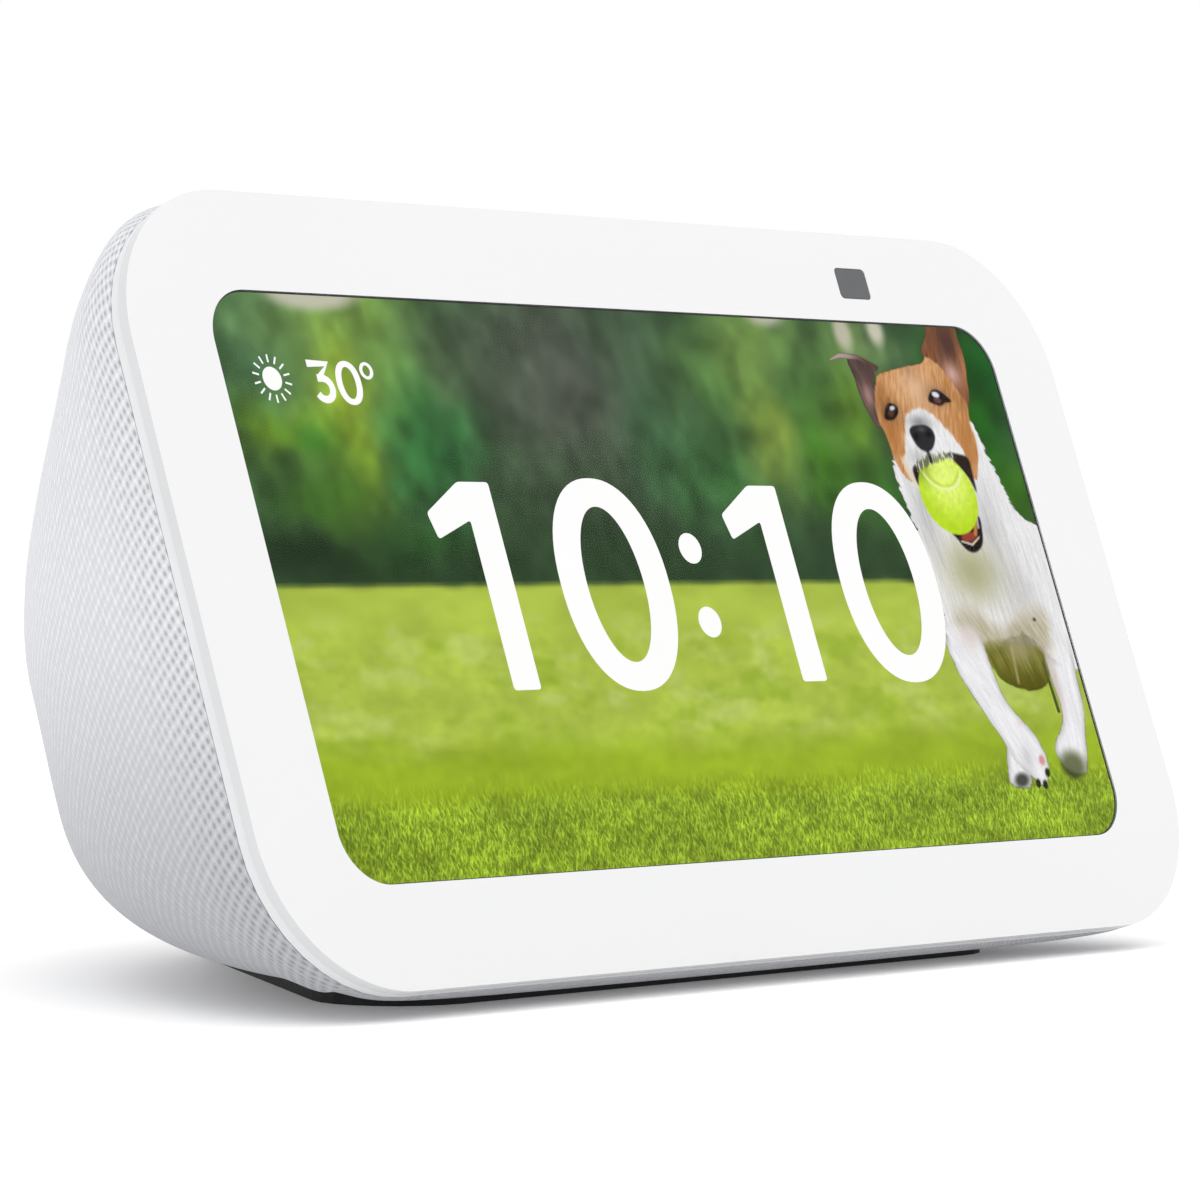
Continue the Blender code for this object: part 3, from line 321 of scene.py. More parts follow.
def flat_mesh(name, outlines, low, high):
    """A flat solid from low to high: the first outline is its edge and the others are holes in it."""
    curve = bpy.data.curves.new(name, "CURVE")
    curve.dimensions = "2D"
    curve.fill_mode = "BOTH"
    curve.extrude = (high - low) / 2
    for outline in outlines:
        spline = curve.splines.new("POLY")
        spline.points.add(len(outline) - 1)
        spline.use_cyclic_u = True
        for target, (x, y) in zip(spline.points, outline):
            target.co = (x, y, 0, 1)
    holder = bpy.data.objects.new(name, curve)
    bpy.context.scene.collection.objects.link(holder)
    graph = bpy.context.evaluated_depsgraph_get()
    mesh = bpy.data.meshes.new_from_object(holder.evaluated_get(graph))
    bpy.data.objects.remove(holder)
    mesh.transform(Matrix.Translation((0, 0, (high + low) / 2)))
    shape = bmesh.new()
    shape.from_mesh(mesh)
    bmesh.ops.remove_doubles(shape, verts=shape.verts, dist=1e-7)
    shape.to_mesh(mesh)
    shape.free()
    return mesh


def face_outline(inset, steps=26):
    return rounded_rectangle(WIDTH - 2 * inset, FACE_HEIGHT - 2 * inset, FACE_RADIUS - inset,
                             0, FACE_HEIGHT / 2, steps)


def screen_outline(inset=0.0):
    return rounded_rectangle(SCREEN_WIDTH - 2 * inset, SCREEN_HEIGHT - 2 * inset, SCREEN_RADIUS - inset,
                             0, SCREEN_MIDDLE, 16)


def window_outline(inset=0.0):
    return rounded_rectangle(WINDOW_WIDTH - 2 * inset, WINDOW_HEIGHT - 2 * inset, WINDOW_RADIUS - inset,
                             CAMERA_X, FACE_HEIGHT - CAMERA_BELOW_TOP, 6)


# ---------------------------------------------------------------- glass front

def printed_glass(name):
    """White print seen through a thin clear layer."""
    look = Look(name, Roughness=0.28, Coat_Weight=0.35, Coat_Roughness=0.06, IOR=1.45)
    slow = look.noise(look.place(), 24.0, 2.0)
    look.drive("Base Color", look.mix(slow, rgb(222, 222, 223), rgb(225, 225, 226)))
    ripple = look.noise(look.place(), 90.0, 2.0)
    look.bump(ripple, 0.02, 0.0001)
    return look.material


def glass_edge(name):
    """The cut edge of the glass, painted a little greyer than its print: partly its own colour, partly
    painted shade on the side faces.
    """
    look = Look(name, Roughness=0.2, Coat_Weight=0.3, Coat_Roughness=0.08)
    slow = look.noise(look.place(), 70.0, 2.0)
    look.drive("Base Color", look.mix(slow, rgb(202, 203, 204), rgb(209, 210, 211)))
    look.bump(look.noise(look.place(), 900.0), 0.05, 0.00003)
    return look.material


def build_bezel():
    outlines = [face_outline(0), screen_outline(), window_outline()]
    mesh = flat_mesh("glass_front", outlines, -BEZEL_BACK, 0)
    piece = as_piece("glass_front", mesh, None, printed_glass("printed_glass"))
    mesh.materials.append(glass_edge("glass_edge"))
    weight = mesh.attributes.new("bevel_weight_edge", "FLOAT", "EDGE")
    for edge in mesh.edges:
        first, last = (mesh.vertices[index].co for index in edge.vertices)
        if all(abs(point.z) < 1e-6 and on_outer_edge(point) for point in (first, last, (first + last) / 2)):
            weight.data[edge.index].value = 1.0
    modifier = piece.modifiers.new("fillet", "BEVEL")
    modifier.width = BEZEL_FILLET
    modifier.segments = 4
    modifier.limit_method = "WEIGHT"
    apply_modifiers(piece)
    mesh = piece.data
    # the outer side faces take the greyer edge colour, partly painted shade
    for face in mesh.polygons:
        in_front = face.center.z > -BEZEL_BACK + 1e-6
        if abs(face.normal.z) < 0.6 and in_front and on_outer_edge(face.center, 1e-4):
            face.material_index = 1
    mesh.transform(FACE)
    mesh.shade_smooth()
    mesh.set_sharp_from_angle(angle=math.radians(35))
    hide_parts("cover_glass")


def edge_distance(point):
    """Distance inside the glass's rounded outline."""
    across = abs(point.x) - (WIDTH / 2 - FACE_RADIUS)
    up = abs(point.y - FACE_HEIGHT / 2) - (FACE_HEIGHT / 2 - FACE_RADIUS)
    outside = math.hypot(max(across, 0), max(up, 0)) + min(max(across, up), 0)
    return FACE_RADIUS - outside


def on_outer_edge(point, margin=EDGE_MARGIN):
    return edge_distance(point) < margin


def clear_glass(name):
    look = Look(name, Transmission_Weight=1.0, IOR=1.08, Base_Color=(1, 1, 1, 1))
    smudge = look.noise(look.place(), 140.0, 3.0)
    look.drive("Roughness", look.spread(smudge, 0.4, 0.8, 0.0, 0.006))
    return look.material


def tinted_glass(name):
    look = Look(name, IOR=1.45, Coat_Weight=0.2)
    rim = look.noise(look.place(), 500.0, 2.0)
    look.drive("Base Color", look.mix(rim, rgb(76, 77, 79), rgb(85, 86, 88)))
    look.drive("Roughness", look.spread(rim, 0.3, 0.7, 0.08, 0.16))
    return look.material


def glass_piece(name, outlines, low, high, material):
    """A flat piece of the glass front; its heights are measured out of the glass's face."""
    piece = as_piece(name, flat_mesh(name, outlines, low, high), FACE, material)
    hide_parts("cover_glass")


def build_panes():
    glass_piece("display_pane", [screen_outline(CLEARANCE)], -PANE_BACK, -CLEARANCE,
                clear_glass("clear_glass"))
    glass_piece("display_mask", [screen_outline(CLEARANCE), screen_outline(LINER_WIDTH)],
                -LINER_BACK, -PANE_BACK - CLEARANCE, moulded("display_mask", rgb(34, 36, 35), 0.5))
    glass_piece("camera_window", [window_outline(WINDOW_CLEARANCE)], -WINDOW_BACK, -WINDOW_SINK,
                tinted_glass("camera_window"))
    glass_piece("camera_window_border", [window_outline(CLEARANCE), window_outline(BORDER_WIDTH)],
                -BORDER_BACK, -BORDER_SINK, moulded("window_border", rgb(70, 71, 73), 0.35))


# ---------------------------------------------------------------- painting, in millimetres on the picture

PICTURE_WIDTH = SCREEN_WIDTH / MM
PICTURE_HEIGHT = SCREEN_HEIGHT / MM
PICTURE_TUCK = -0.3           # the picture's grid runs on under the mask
PICTURE_PITCH = 0.42          # between the picture's grid points
DOG_PITCH = 0.15
DOG_LEFT = 94.5
DOG_BOTTOM = 57.5
CURVE_STEPS = 4               # between an outline's points


def value_noise(x, y, seed):
    """Smooth noise from 0 to 1 whose cells are one unit wide."""
    table = np.random.default_rng(seed).random((256, 256))
    column = np.floor(x).astype(int)
    row = np.floor(y).astype(int)
    across = smooth_step(x - column, 0, 1)
    down = smooth_step(y - row, 0, 1)
    corners = [table[(row + dy) % 256, (column + dx) % 256] for dy in (0, 1) for dx in (0, 1)]
    upper = corners[0] + (corners[1] - corners[0]) * across
    lower = corners[2] + (corners[3] - corners[2]) * across
    return upper + (lower - upper) * down


def fractal_noise(x, y, seed, octaves=4):
    total = np.zeros_like(x)
    for octave in range(octaves):
        total += value_noise(x * 2 ** octave, y * 2 ** octave, seed + octave) / 2 ** octave
    return total / (2 - 2 ** (1 - octaves))


def streaks(x, y, degrees, length, width, seed):
    """Hair-like noise that runs along a direction, measured from +X towards +Y (down)."""
    turn = np.radians(degrees)
    along = x * np.cos(turn) + y * np.sin(turn)
    beside = -x * np.sin(turn) + y * np.cos(turn)
    bend = value_noise(along / (2.5 * length), beside / (2.5 * length), seed + 9) * width * 3
    return fractal_noise(along / length, (beside + bend) / width, seed, 3)


def smooth_step(value, low, high):
    share = np.clip((value - low) / (high - low), 0, 1)
    return share * share * (3 - 2 * share)


def colour(red, green, blue):
    return np.array((red, green, blue), float) / 255


def blend(first, second, share):
    """A grid of colours between two, by the share of the second at each place."""
    return first + (second - first) * share[..., None]


def soft(distance, width):
    """A mask that fades across an edge: 1 inside, 0 outside."""
    return smooth_step(-distance, -width / 2, width / 2)


def closed_curve(points):
    """A closed outline, smoothed through its points."""
    points = np.array(points, float)
    curve = []
    for index in range(len(points)):
        before, start, end, after = (points[(index + shift) % len(points)] for shift in (-1, 0, 1, 2))
        for step in range(CURVE_STEPS):
            t = step / CURVE_STEPS
            curve.append(0.5 * (2 * start + (end - before) * t
                                + (2 * before - 5 * start + 4 * end - after) * t ** 2
                                + (3 * start - before - 3 * end + after) * t ** 3))
    return np.array(curve)


class Painting:
    """Colours in display values on a grid of places, right and down from the screen's corner."""

    def __init__(self, left, right, top, bottom, pitch):
        columns = int(round((right - left) / pitch)) + 1
        rows = int(round((bottom - top) / pitch)) + 1
        self.x, self.y = np.meshgrid(np.linspace(left, right, columns), np.linspace(top, bottom, rows))
        self.colours = np.zeros((rows, columns, 3))
        self.cover = np.zeros((rows, columns))

    def lay(self, paint, mask):
        """Lay a colour, or a grid of colours, where the mask is above 0."""
        mask = np.clip(mask, 0, 1)
        self.colours = blend(self.colours, paint, mask)
        self.cover = np.maximum(self.cover, mask)

    def spot(self, shade, distance, fade, strength=1.0):
        """Lay one colour inside an edge, given by the distance outside it."""
        self.lay(colour(*shade), soft(distance, fade) * strength)

    def haze(self, shade, strength, *patch):
        """Lay one colour in a soft round patch."""
        self.lay(colour(*shade), strength * self.glow(*patch))

    def tone(self, amount, mask):
        """Lighten or darken what is there, where the mask is above 0."""
        self.colours *= 1 + (np.asarray(amount) - 1) * np.clip(mask, 0, 1)[..., None]

    def glow(self, x, y, half_width, half_height):
        """A soft round patch: 1 in its middle, fading outwards."""
        return np.exp(-((self.x - x) / half_width) ** 2 - ((self.y - y) / half_height) ** 2)

    def oval(self, x, y, half_width, half_height, degrees=0.0):
        """Distance outside an ellipse, below 0 inside."""
        turn = np.radians(degrees)
        across = (self.x - x) * np.cos(turn) + (self.y - y) * np.sin(turn)
        down = -(self.x - x) * np.sin(turn) + (self.y - y) * np.cos(turn)
        scale = np.hypot(across / half_width, down / half_height)
        return (scale - 1) * min(half_width, half_height)

    def stroke(self, *route):
        """Distance outside a line with round ends, through places given as x, y and radius."""
        bars = []
        for (ax, ay, start_radius), (bx, by, end_radius) in zip(route, route[1:]):
            distance, share = self.line(ax, ay, bx, by)
            bars.append(distance - (start_radius + (end_radius - start_radius) * share))
        return np.minimum.reduce(bars)

    def line(self, ax, ay, bx, by):
        """Distance from a straight line, and the share of the way along it."""
        run_x = bx - ax
        run_y = by - ay
        share = ((self.x - ax) * run_x + (self.y - ay) * run_y) / max(run_x ** 2 + run_y ** 2, 1e-12)
        share = np.clip(share, 0, 1)
        return np.hypot(self.x - ax - run_x * share, self.y - ay - run_y * share), share

    def patch(self, points):
        """Distance outside a closed outline, smoothed through its points."""
        outline = closed_curve(points)
        nearest = np.full(self.x.shape, 1e9)
        inside = np.zeros(self.x.shape, bool)
        for (ax, ay), (bx, by) in zip(outline, np.roll(outline, -1, axis=0)):
            nearest = np.minimum(nearest, self.line(ax, ay, bx, by)[0])
            if ay != by:
                crosses = (ay > self.y) != (by > self.y)
                inside ^= crosses & (self.x < ax + (self.y - ay) * (bx - ax) / (by - ay))
        return np.where(inside, -nearest, nearest)


# ---------------------------------------------------------------- the painted surfaces

def display_linear(values):
    """Display values as linear light, for the grid of colours."""
    values = np.clip(values, 0, 1)
    return np.where(values <= 0.04045, values / 12.92, ((values + 0.055) / 1.055) ** 2.4)


def inside_screen(art):
    radius = SCREEN_RADIUS / MM
    across = np.abs(art.x - PICTURE_WIDTH / 2) - (PICTURE_WIDTH / 2 - radius)
    down = np.abs(art.y - PICTURE_HEIGHT / 2) - (PICTURE_HEIGHT / 2 - radius)
    outside = np.hypot(np.maximum(across, 0), np.maximum(down, 0)) + np.minimum(np.maximum(across, down), 0)
    return outside < radius - PICTURE_TUCK


def grid_mesh(name, art, depth, inside):
    """A mesh over the grid's places that are inside, with the colours on its points."""
    rows, columns = art.x.shape
    kept = np.zeros((rows, columns), bool)
    quads = inside[:-1, :-1] & inside[1:, :-1] & inside[:-1, 1:] & inside[1:, 1:]
    for shift_y in (0, 1):
        for shift_x in (0, 1):
            kept[shift_y:rows - 1 + shift_y, shift_x:columns - 1 + shift_x] |= quads
    count = kept.sum()
    index = np.full((rows, columns), -1)
    index[kept] = np.arange(count)
    corners = (index[1:, :-1], index[1:, 1:], index[:-1, 1:], index[:-1, :-1])
    faces = np.stack([corner[quads] for corner in corners], 1)
    points = np.stack([(art.x[kept] - PICTURE_WIDTH / 2) * MM,
                       SCREEN_MIDDLE + (PICTURE_HEIGHT / 2 - art.y[kept]) * MM,
                       np.full(count, -depth)], 1)
    mesh = bpy.data.meshes.new(name)
    mesh.from_pydata(points.tolist(), [], faces.tolist())
    store_paint(mesh, art.colours[kept], art.cover[kept])
    store_places(mesh, np.stack([art.x[kept], art.y[kept]], 1))
    return mesh


def store_paint(mesh, colours, cover):
    """The paint on each point, with how far it covers as its alpha."""
    store = mesh.attributes.new("paint", "FLOAT_COLOR", "POINT")
    paint = np.concatenate([display_linear(colours), cover[:, None]], 1)
    store.data.foreach_set("color", paint.astype(np.float32).ravel())


def store_places(mesh, places):
    """Each corner's place on the picture, as the UV map that the leaves, grass and fur follow."""
    flat = mesh.uv_layers.new(name="flat")
    loops = np.zeros(len(mesh.loops), np.int32)
    mesh.loops.foreach_get("vertex_index", loops)
    flat.data.foreach_set("uv", places[loops].astype(np.float32).ravel())


def lit_look(name):
    """A surface that only shines, as a display does."""
    return Look(name, Roughness=0.5, Base_Color=(0, 0, 0, 1), Specular_IOR_Level=0.0, Emission_Strength=1.0)


def painted_piece(name, art, depth, inside, material):
    piece = as_piece(name, grid_mesh(name, art, depth, inside), FACE, material)
    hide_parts("cover_glass")


# ---------------------------------------------------------------- the picture's background

HORIZON = 31.5                # under the picture's upper edge
GRASS_LEANS = (-0.42, 0.08, 0.5)

# Out-of-focus trees: place, half width, half height, colour and strength.
FOLIAGE = (
    (9, 3, 14, 9, (92, 116, 84), 0.9),
    (22, 6, 11, 8, (118, 146, 84), 0.8),
    (9, 10, 8, 4, (88, 124, 98), 0.6),
    (16, 12, 6, 9, (138, 156, 70), 0.9),
    (6, 15, 9, 3, (104, 132, 50), 0.7),
    (17, 19, 5, 6, (112, 134, 56), 0.6),
    (11, 16, 3, 2.5, (40, 82, 40), 0.6),
    (28, 16, 6, 8, (52, 112, 60), 0.8),
    (27, 24, 9, 4, (50, 82, 50), 0.5),
    (10, 23, 7, 4, (66, 98, 40), 0.7),
    (5, 28, 10, 3, (36, 50, 34), 0.9),
    (21, 28, 6, 3, (50, 92, 46), 0.6),
    (50, 9, 19, 15, (80, 82, 77), 0.9),
    (47, 20, 16, 7, (60, 72, 56), 0.6),
    (64, 14, 6, 9, (62, 96, 66), 0.5),
    (72, 20, 7, 6, (60, 98, 56), 0.7),
    (76, 8, 7, 8, (84, 118, 68), 0.6),
    (83, 3, 8, 6, (118, 140, 84), 0.8),
    (82, 14, 4, 7, (140, 158, 84), 0.8),
    (90, 7, 6, 5, (92, 120, 78), 0.7),
    (90, 17, 5, 8, (72, 112, 42), 0.8),
    (97, 12, 4, 9, (98, 126, 52), 0.7),
    (99, 22, 5, 5, (46, 84, 36), 0.7),
    (119, 14, 7, 14, (34, 72, 26), 0.95),
    (123, 21, 4, 5, (60, 96, 30), 0.6),
    (101, 3, 7, 4, (112, 130, 92), 0.8),
    (123, 5, 6, 6, (24, 68, 28), 0.85),
)

# Bright spots of sky between the leaves: place, half width, half height and colour.
SKY_SPOTS = (
    (15, -0.6, 6.5, 2.3, (200, 196, 180)),
    (86, -0.4, 3.2, 1.5, (190, 188, 168)),
    (99, 1.4, 1.3, 2.0, (196, 190, 172)),
    (105, 0.9, 1.5, 1.9, (212, 206, 188)),
)


def paint_trees(art):
    """Blurred trees with gloom under them and sky between them."""
    sway = fractal_noise(art.x / 7, art.y / 7, 11) - 0.5
    trees = np.ones(art.colours.shape) * colour(58, 78, 56)
    for x, y, half_width, half_height, shade, strength in FOLIAGE:
        reach = ((art.x - x + 9 * sway) / half_width) ** 2 + ((art.y - y - 6 * sway) / half_height) ** 2
        trees = blend(trees, colour(*shade), strength * np.exp(-1.1 * reach))
    leaves = fractal_noise(art.x / 3.0, art.y / 3.6, 21, 3) - 0.5
    trees *= 1 + 0.6 * leaves[..., None]
    grey = trees.mean(axis=2, keepdims=True)
    trees = np.clip(grey * 1.04 + (trees - grey) * 1.4, 0.02, 1)
    gloom = smooth_step(art.y, 20, 29.5) * (0.35 + 0.3 * fractal_noise(art.x / 4, art.y / 3, 31))
    trees = blend(trees, colour(34, 50, 30), gloom)
    for *oval, shade in SKY_SPOTS:
        trees = blend(trees, colour(*shade), 0.9 * soft(art.oval(*oval) + 0.7 * sway, 1.5))
    art.lay(trees, np.ones(art.x.shape))


def paint_lawn(art):
    """A blurred pale lawn, then a saturated band, then the sharp grass nearest the viewer."""
    drift = (fractal_noise(art.x / 6, art.y / 2.6, 41) - 0.5)[..., None]
    lawn = colour(170, 190, 72) * (1 + 0.20 * drift)
    pale = smooth_step(fractal_noise(art.x / 5, art.y / 2.2, 51), 0.5, 0.75) * smooth_step(art.y, 33, 37)
    lawn = blend(lawn, colour(186, 202, 110), 0.6 * pale)
    deep = smooth_step(fractal_noise(art.x / 4, art.y / 2.0, 52), 0.52, 0.8) * smooth_step(art.y, 34, 40)
    lawn = blend(lawn, colour(142, 172, 44), 0.6 * deep)
    down = art.y + 2.4 * (fractal_noise(art.x / 7, art.y / 9, 53) - 0.5)
    lawn = blend(lawn, colour(152, 178, 40) * (1 + 0.22 * drift), smooth_step(down, 46.5, 51.5))
    lawn = blend(lawn, colour(143, 171, 46) * (1 + 0.4 * drift), smooth_step(down, 53.5, 56.0))
    edge = HORIZON + 0.5 * (fractal_noise(art.x / 5, art.y * 0, 61) - 0.5)
    art.lay(lawn, smooth_step(art.y, edge - 0.5, edge + 0.5))


def grass_blades(look, flat):
    """Straight thin blades that lean three ways, the lightest on top."""
    layers = []
    for number, lean in enumerate(GRASS_LEANS):
        across = look.dot(flat, (3.6, 3.6 * lean, 0))
        down = look.dot(flat, (0, 0.95, 0))
        place = look.add("ShaderNodeCombineXYZ", {"X": across, "Y": down, "Z": 13.7 * number})
        layers.append(look.noise(place, 1.0, 3.0, 0.6))
    return look.math("MAXIMUM", look.math("MAXIMUM", layers[0], layers[1]), layers[2])


def lit_picture(name):
    """The trees and lawn: painted colours, with leaves and grass blades added by noise."""
    look = lit_look(name)
    flat = look.uv("flat")
    paint = look.attribute("paint")
    down = look.dot(flat, (0, 1, 0))
    tufts = look.noise(look.stretched(flat, (0.5, 0.7, 0)), 1.0, 3.0, 0.6)
    lawn = look.spread(down, HORIZON, 40.0)
    close = look.spread(look.math("MULTIPLY_ADD", tufts, 5.0, down), 53.5, 59.5)
    tuft_tone = look.spread(tufts, 0.25, 0.75, 0.92, 1.08)
    blade_tone = look.spread(grass_blades(look, flat), 0.46, 0.74, 0.48, 1.7)
    colours = look.mix(lawn, paint, look.mix(1.0, paint, tuft_tone, "MULTIPLY"))
    colours = look.mix(close, colours, look.mix(1.0, colours, blade_tone, "MULTIPLY"))
    look.drive("Emission Color", colours)
    return look.material


def build_picture():
    art = Painting(0, PICTURE_WIDTH, 0, PICTURE_HEIGHT, PICTURE_PITCH)
    paint_trees(art)
    paint_lawn(art)
    painted_piece("display_picture", art, PICTURE_DEPTH, inside_screen(art), lit_picture("display_picture"))


# ---------------------------------------------------------------- the dog in the picture

def fur_edge(art, distance, degrees, length=0.5, seed=5):
    """Fray an outline into hairs that lean one way."""
    hairs = streaks(art.x, art.y, degrees, 1.3, 0.2, seed) - 0.5
    return distance - 2 * length * hairs


def fur(art, light, dark, degrees, seed, length=2.0, contrast=1.0):
    """A grid of fur colours with hairs along a direction."""
    hairs = streaks(art.x, art.y, degrees, length, 0.2, seed)
    share = np.clip(0.5 + contrast * (hairs - 0.5) * 1.8, 0, 1)
    return blend(colour(*dark), colour(*light), share)


def tinged(art, coat, *patches):
    """A coat turned towards other colours: each has a colour, a strength and a soft round patch."""
    for shade, strength, *patch in patches:
        coat = blend(coat, colour(*shade), strength * art.glow(*patch))
    return coat


def dimmed(art, coat, *patches):
    """A coat darkened in places: each has a strength and a soft round patch."""
    for strength, *patch in patches:
        coat = coat * (1 - strength * art.glow(*patch))[..., None]
    return coat


def paint_ears(art):
    near = art.patch([(112.2, 3.4), (113.8, 1.6), (115.2, -0.6), (119.4, -0.6), (120.0, 1.6),
                      (120.2, 4.0), (119.6, 6.4), (119.2, 8.4), (118.2, 10.0), (116.6, 8.6),
                      (115.0, 6.2), (113.6, 4.6)])
    coat = tinged(art, fur(art, (150, 96, 62), (98, 62, 46), 96, 71),
                  ((74, 50, 44), 0.85, 117.6, 2.2, 1.9, 2.6),
                  ((206, 164, 152), 0.95, 117.0, 6.0, 1.5, 1.6),
                  ((186, 128, 84), 0.8, 119.6, 5.4, 0.6, 3.2))
    art.lay(coat, soft(fur_edge(art, near, 96, 0.12), 0.25))
    far = art.patch([(98.5, 4.6), (100.6, 4.4), (103.6, 5.6), (102.7, 6.4), (102.0, 8.2), (101.6, 10.2),
                     (101.6, 12.6), (100.4, 12.8), (99.6, 11.2), (99.0, 9.4), (98.8, 7.0)])
    coat = tinged(art, fur(art, (104, 82, 76), (66, 50, 48), 70, 73, 1.8),
                  ((170, 132, 124), 0.9, 100.4, 9.0, 0.9, 1.7))
    art.lay(coat, soft(fur_edge(art, far, 60, 0.1), 0.22))
    fold = art.stroke((95.4, 4.8, 0.14), (97.2, 4.25, 0.32), (100.2, 4.3, 0.3), (103.6, 5.5, 0.2))
    shade = blend(colour(172, 152, 146), colour(92, 68, 60), smooth_step(art.x, 98, 102))
    art.lay(shade, soft(fold, 0.25))


def paint_chest(art):
    chest = art.patch([(101.6, 17.0), (106.0, 12.0), (116.0, 11.0), (118.3, 12.2), (119.2, 15.5),
                       (120.5, 19.5), (121.4, 22.2), (123.4, 24.2), (129.0, 27.5), (129.0, 41.5),
                       (122.0, 42.0), (116.5, 38.0), (108.0, 40.5), (103.0, 39.0), (102.8, 33.0),
                       (102.4, 26.0), (101.5, 21.0)])
    coat = tinged(art, fur(art, (243, 242, 243), (219, 218, 219), 86, 81, 2.4),
                  ((166, 165, 118), 0.85, 110.4, 30.4, 4.9, 3.9))
    coat = dimmed(art, coat, (0.14, 104.6, 23.5, 1.8, 5.0), (0.12, 115.8, 24.5, 2.6, 5.0),
                  (0.10, 117.8, 33.0, 3.0, 4.0))
    art.lay(coat, soft(fur_edge(art, chest, 30, 0.5, 82), 0.4))


def paint_belly(art):
    upper = art.patch([(104.6, 35.2), (108.4, 34.6), (111.0, 36.6), (112.8, 37.4), (115.0, 36.4),
                       (118.4, 34.8), (121.6, 35.0), (121.4, 38.4), (119.8, 41.4), (114.0, 41.8),
                       (108.6, 41.0), (105.6, 38.6)])
    coat = fur(art, (196, 189, 164), (160, 152, 118), 60, 83)
    coat = blend(coat, colour(214, 208, 198), 0.6 * (1 - smooth_step(art.y, 34.5, 37.5)))
    art.lay(coat, soft(fur_edge(art, upper, 60, 0.4, 84), 2.4) * 0.85)
    lower = art.patch([(108.6, 39.2), (111.6, 38.6), (115.0, 39.0), (118.6, 39.8), (119.6, 42.0),
                       (118.6, 44.0), (115.4, 44.9), (111.6, 44.2), (109.6, 42.8)])
    coat = tinged(art, fur(art, (134, 132, 54), (88, 88, 16), 74, 85),
                  ((166, 156, 116), 0.8, 115.0, 40.0, 2.6, 1.8))
    coat = blend(coat, colour(84, 80, 8), 0.7 * smooth_step(art.y, 42.0, 44.6))
    art.lay(coat, soft(fur_edge(art, lower, 80, 0.2, 86), 0.7) * smooth_step(art.y, 37.6, 40.6) * 0.96)
    art.spot((176, 168, 118), art.stroke((113.6, 39.6, 0.25), (113.1, 43.8, 0.2)), 0.5, 0.7)
    art.spot((50, 40, 34), art.oval(119.3, 36.3, 0.3, 0.22), 0.3, 0.8)


def paint_leg(art, outline, degrees, seed, shade, top):
    """A leg whose upper end melts into the body below the given height."""
    leg = art.patch(outline)
    melt = smooth_step(art.y, top, top + 4.0)
    coat = fur(art, (246, 245, 247), (226, 225, 228), degrees, seed)
    art.lay(coat, soft(fur_edge(art, leg, degrees, 0.16, seed + 1), 0.35) * melt)
    art.tone(colour(*shade), soft(leg, 0.35) * smooth_step(leg, -1.0, 0.1) * melt * 0.6)


def paint_legs(art):
    heel = [(107.8, 51.4), (109.6, 52.6), (110.6, 55.4), (109.4, 56.4), (107.4, 56.2), (106.4, 55.4),
            (106.9, 53.2)]
    paint_leg(art, heel, 80, 91, (170, 170, 160), 46.0)
    art.spot((44, 44, 36), art.oval(108.7, 55.4, 1.3, 0.8, -10), 0.8, 0.85)
    art.spot((70, 78, 22), art.stroke((118.7, 41.6, 0.25), (119.0, 47.4, 0.3)), 0.5, 0.9)
    right = [(119.6, 40.0), (124.2, 39.0), (124.2, 44.0), (123.8, 47.6), (122.8, 50.4), (121.8, 53.2),
             (120.8, 55.0), (118.0, 54.6), (116.3, 52.6), (117.0, 50.8), (118.8, 49.2), (119.6, 46.6)]
    paint_leg(art, right, 96, 93, (190, 184, 178), 38.4)
    art.haze((206, 192, 184), 0.8, 120.0, 43.6, 0.8, 3.6)
    art.spot((84, 90, 52), art.oval(118.8, 54.0, 2.3, 1.7), 1.8, 0.85)
    left = [(102.2, 36.6), (107.6, 36.8), (108.8, 41.0), (109.5, 45.0), (110.8, 47.3), (112.4, 49.0),
            (113.8, 51.0), (114.3, 53.2), (113.6, 55.4), (112.0, 56.2), (110.6, 55.0), (108.6, 53.4),
            (107.4, 51.0), (105.8, 48.2), (103.9, 45.0), (102.6, 42.2), (102.0, 39.4)]
    paint_leg(art, left, 62, 95, (196, 196, 192), 35.4)
    art.haze((218, 202, 198), 0.7, 106.4, 38.4, 1.6, 1.4)
    art.tone(0.88, art.glow(110.8, 53.0, 1.0, 1.6))
    art.spot((206, 126, 122), art.oval(113.3, 53.2, 0.5, 0.6, 10), 0.5, 0.8)
    art.haze((228, 206, 204), 0.6, 111.2, 48.6, 0.5, 0.5)
    for x, y in ((111.5, 55.9), (112.7, 56.1), (113.7, 54.7)):
        art.spot((38, 36, 30), art.oval(x, y, 0.42, 0.55, 20), 0.3)


